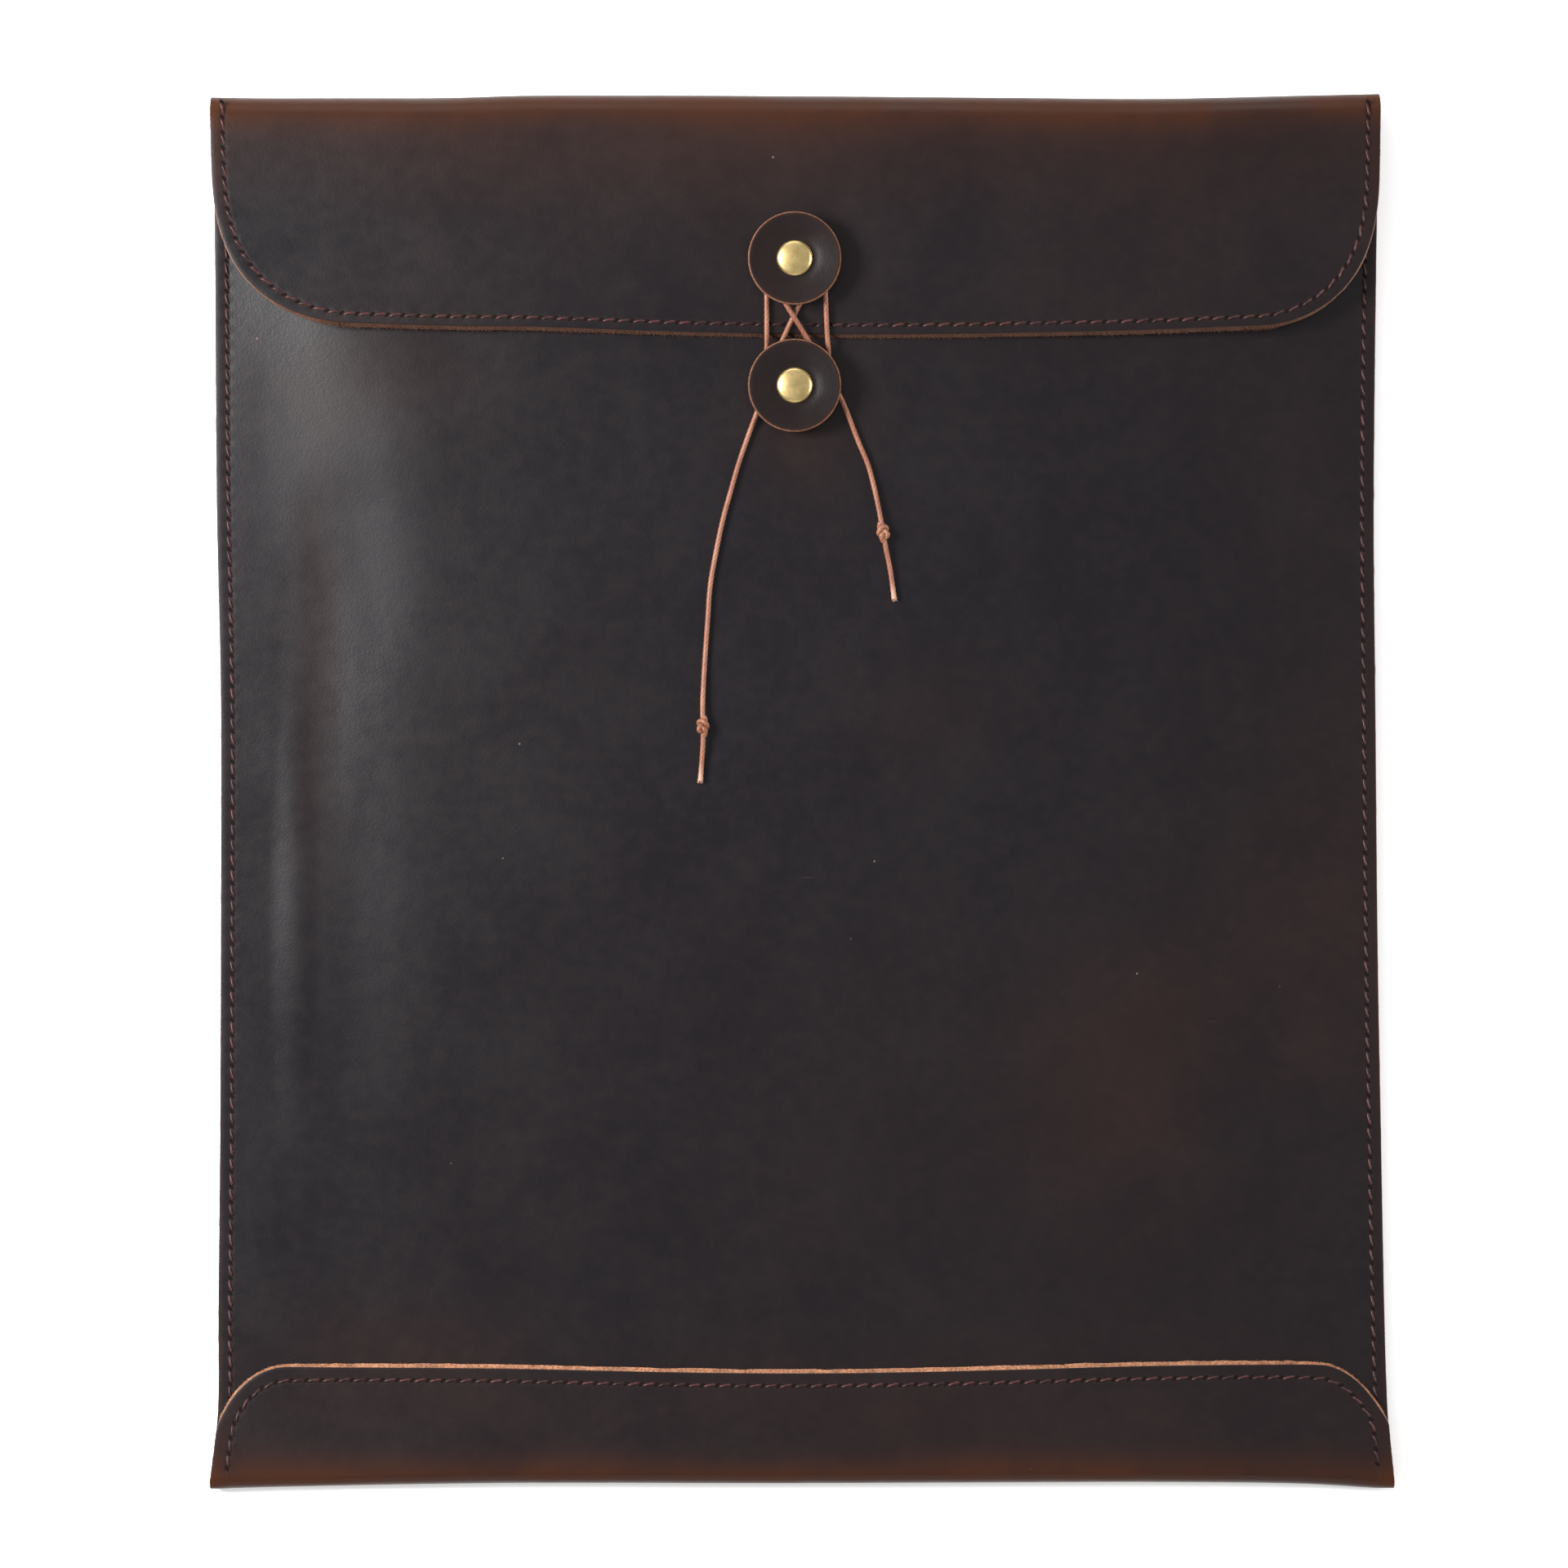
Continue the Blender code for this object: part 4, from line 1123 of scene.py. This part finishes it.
def dish_height(radius):
    flat = SPACER_DIAMETER / 2
    share = max(0.0, radius - flat) / (DISC_DIAMETER / 2 - flat)
    return DISC_DISH * (1 - (1 - share) ** 1.3)


def build_disc(node):
    """A dished leather button with a rubbed tan edge."""
    centre, _ = stand(node)
    rim = DISC_DIAMETER / 2
    hole = RIVET_SHANK_DIAMETER / 2 + 0.0003
    face = rim - DISC_ROUND
    foot = dish_height(rim)
    top = foot + DISC_THICKNESS
    profile = [(radius, dish_height(radius)) for radius in np.linspace(hole, face, 15)]
    for angle in np.linspace(0, math.pi / 2, 5)[1:]:
        profile.append((face + DISC_ROUND * math.sin(angle), foot + DISC_ROUND * (1 - math.cos(angle))))
    for angle in np.linspace(0, math.pi / 2, 6):
        profile.append((face + DISC_ROUND * math.cos(angle), top - DISC_ROUND * (1 - math.sin(angle))))
    for radius in np.linspace(face, hole, 21)[1:]:
        seat = 0.00014 * smooth_step(1 - (radius - RIVET_CAP_DIAMETER / 2) / 0.0030)
        profile.append((radius, dish_height(radius) + DISC_THICKNESS - seat))
    profile.append(profile[0])
    slots = [1] * 14 + [2] * 9 + [0] * 21 + [1]
    mesh = turn(node.replace("disc", "button"), profile, 144, slots, (DISC_GRAIN, FLESH, CUT), centre)
    places = np.zeros(len(mesh.vertices) * 3)
    mesh.vertices.foreach_get("co", places)
    x, y, _ = places.reshape(-1, 3).T
    radius = np.hypot(x - centre[0], y - centre[1])
    rubbed = smooth_step((radius - rim + 0.0012) / 0.0008)
    add_values(mesh, edge_light=0.23, warmth=0.4, wear=0.14 * rubbed)
    add_piece(mesh, node)


def build_rivet(node):
    """A brass rivet with a softly domed cap."""
    centre, total = stand(node)
    cap = RIVET_CAP_DIAMETER / 2
    shank = RIVET_SHANK_DIAMETER / 2
    back = RIVET_BACK_DIAMETER / 2
    base = total - RIVET_CAP_HEIGHT
    profile = [(1e-7, 0.0), (back - 0.0002, 0.0), (back, 0.0002), (back, RIVET_BACK_THICKNESS - 0.0002)]
    profile += [(back - 0.0002, RIVET_BACK_THICKNESS), (shank, RIVET_BACK_THICKNESS), (shank, base)]
    profile += [(cap - 0.0003, base), (cap - 0.00005, base + 0.00012)]
    edge = 0.00080
    for angle in np.linspace(0, math.pi / 2, 9):
        out = cap - edge + edge * math.cos(angle)
        profile.append((out, total - CAP_DOME * (out / cap) ** 2.2 - edge * 0.7 * (1 - math.sin(angle))))
    for i in range(1, 11):
        out = (cap - edge) * (1 - i / 10)
        profile.append((max(out, 1e-7), total - CAP_DOME * (out / cap) ** 2.2))
    mesh = turn(node + "_brass", profile, 96, [0] * (len(profile) - 1), (BRASS,), centre)
    add_piece(mesh, node)


for prefix in ("upper", "lower"):
    build_disc(prefix + "_disc")
    build_rivet(prefix + "_rivet")
    post = bpy.data.objects[prefix + "_spacer"]
    post.data.materials.clear()
    post.data.materials.append(DISC_GRAIN)


# Cord
def smooth_route(route, fine=12):
    """Points close together on the smooth curve through a route."""
    points = np.array(route)
    last = len(points) - 1
    made = []
    for i in range(last):
        p0, p1, p2, p3 = (points[min(max(k, 0), last)] for k in (i - 1, i, i + 1, i + 2))
        for k in range(fine):
            t = k / fine
            curve = 2 * p1 + (p2 - p0) * t + (2 * p0 - 5 * p1 + 4 * p2 - p3) * t**2
            made.append(0.5 * (curve + (3 * p1 - p0 - 3 * p2 + p3) * t**3))
    made.append(points[-1])
    return np.array(made)


def add_cord(name, node, path, radii, pale):
    """A three-strand cord along a path, with a radius and a paleness for each point."""
    angles = circle(CORD_SIDES)
    tangents = unit(np.gradient(path, axis=0))
    across = np.cross(tangents[0], (0, 0, 1))
    verts = []
    # How deep each point lies between the strands, which darkens the cord's colour as painted shade
    furrows = []
    for point, tangent, radius, length in zip(path, tangents, radii, path_lengths(path)):
        across = unit(across - np.dot(across, tangent) * tangent)
        strand = np.abs(np.cos(1.5 * (angles - CORD_TWIST * length)))
        reach = radius * (0.93 + 0.10 * strand)
        verts.extend(point + reach[:, None] * ring(across, np.cross(tangent, across), CORD_SIDES))
        furrows.extend((1 - strand) ** 2)
    faces = tube_faces(0, len(path), CORD_SIDES)
    mesh = make_mesh(name, verts, faces, (CORD,), furrow=furrows, pale=np.repeat(pale, CORD_SIDES))
    return add_piece(mesh, node)


def build_winding():
    """The stretch that is wound round the two posts."""
    path = even_path(smooth_route(WINDING_ROUTE), CORD_STEP)
    # Its start reaches a little further, towards the left end
    path[0] -= 0.00012 * unit(path[1] - path[0])
    radii = np.full(len(path), CORD_RADIUS)
    cord = add_cord("winding_cord", "cord_winding", path, radii, np.zeros(len(path)))


def build_tail(side, route, knot_point, turned):
    """A loose end with its knot and its frayed tip."""
    path = even_path(smooth_route(route), CORD_STEP)
    centre = np.array(route[knot_point])
    way = unit(np.array(route[knot_point + 1]) - np.array(route[knot_point - 1]))
    from_knot = np.abs(np.sum((path - centre) * way, axis=1))
    near = np.linalg.norm(path - centre, axis=1) < 0.006
    inside = np.where(near, smooth_step((0.0022 - from_knot) / 0.0008), 0.0)
    from_end = np.linalg.norm(path - path[-1], axis=1)
    radii = CORD_RADIUS * (1 - 0.55 * inside) * (1 + 0.10 * smooth_step(1 - from_end / 0.0012))
    tail = add_cord(side + "_tail_cord", "cord_" + side, path, radii, smooth_step(1 - from_end / 0.005))
    knot = build_knot(side, centre, way, turned)
    tip = build_tip(side, path)


def build_knot(side, centre, way, turned):
    """A tight overhand knot, wrapped round the cord where its node is."""
    across = unit(np.cross((0.0, 0.0, 1.0), way)) * turned
    over = np.cross(way, across) * turned
    turns = even_path(smooth_route(KNOT_TURNS, 10), 0.13)
    turns[:, 1] += 0.24
    path = centre + CORD_DIAMETER * turns @ np.array([way, across, over])
    ends = np.minimum(np.arange(len(path)), np.arange(len(path))[::-1])
    radii = CORD_RADIUS * (0.82 + 0.18 * smooth_step(ends / 3))
    return add_cord(side + "_knot_cord", "knot_" + side, path, radii, np.zeros(len(path)))


def build_tip(side, path):
    """A few loose fibres at the cut tip."""
    spread = random.Random(side)
    way = unit(path[-1] - path[-4])
    across = unit(np.cross(way, (0, 0, 1)))
    over = np.cross(across, way)
    verts = []
    faces = []
    for _ in range(26):
        angle = spread.uniform(0, 2 * math.pi)
        out = math.cos(angle) * across + math.sin(angle) * over
        base = path[-1] + out * CORD_DIAMETER * spread.uniform(0.1, 0.42) - way * 0.0002
        lean = unit(way + out * spread.uniform(0.0, 0.6))
        reach = spread.uniform(0.0004, 0.0010)
        thick = spread.uniform(0.00004, 0.00009)
        side_way = unit(np.cross(lean, (0.1, 0.2, 1)))
        up_way = np.cross(side_way, lean)
        faces += tube_faces(len(verts), 3, 4)
        for share, width in ((0.0, 1.0), (0.6, 0.8), (1.0, 0.3)):
            verts.extend(base + lean * reach * share + thick * width * ring(side_way, up_way, 4))
    return add_piece(make_mesh(side + "_tip_fibres", verts, faces, (CORD,), pale=1.0))


build_winding()
build_tail("left", LEFT_CORD_ROUTE, LEFT_KNOT_POINT, 1)
build_tail("right", RIGHT_CORD_ROUTE, RIGHT_KNOT_POINT, -1)


# Studio
def build_floor():
    mesh = bpy.data.meshes.new("floor")
    reach = 4.0
    level = -0.0004
    corners = [(reach * x, reach * y, level) for x, y in ((-1, -1), (1, -1), (1, 1), (-1, 1))]
    mesh.from_pydata(corners, [], [(0, 1, 2, 3)])
    mesh.materials.append(floor_material())
    floor = bpy.data.objects.new("floor", mesh)
    bpy.context.scene.collection.objects.link(floor)


def add_softbox(name, place, size, power, target=(0.0, 0.0, 0.0)):
    light = bpy.data.lights.new(name, "AREA")
    light.shape = "RECTANGLE"
    light.size, light.size_y = size
    light.energy = power
    obj = bpy.data.objects.new(name, light)
    obj.location = place
    obj.rotation_euler = (Vector(target) - Vector(place)).to_track_quat("-Z", "Y").to_euler()
    bpy.context.scene.collection.objects.link(obj)


def build_studio():
    build_floor()
    add_softbox("key", (-0.72, 0.20, 0.72), (0.36, 0.36), 22.5, (-0.05, 0.03, 0.0))
    add_softbox("fill_right", (1.5, 0.1, 0.62), (0.8, 1.2), 18.0)
    add_softbox("fill_top", (-0.2, 1.6, 0.72), (1.2, 0.8), 10.0)
    add_softbox("fill_foot", (0.0, -1.6, 0.66), (1.2, 0.8), 4.0)
    world = bpy.data.worlds.new("studio")
    world.use_nodes = True
    background = world.node_tree.nodes["Background"]
    background.inputs["Color"].default_value = (1.0, 1.0, 1.0, 1.0)
    background.inputs["Strength"].default_value = 0.60
    bpy.context.scene.world = world
    bpy.context.scene.view_settings.view_transform = "Standard"


def build_camera():
    data = bpy.data.cameras.new("camera")
    data.sensor_width = 36.0
    data.lens = 36.0 * (CAMERA_HEIGHT - PHOTO_LEVEL) / PHOTO_WIDTH
    data.clip_start, data.clip_end = 0.05, 20.0
    camera = bpy.data.objects.new("camera", data)
    camera.location = (*PHOTO_CENTRE, CAMERA_HEIGHT)
    bpy.context.scene.collection.objects.link(camera)
    bpy.context.scene.camera = camera


build_studio()
build_camera()
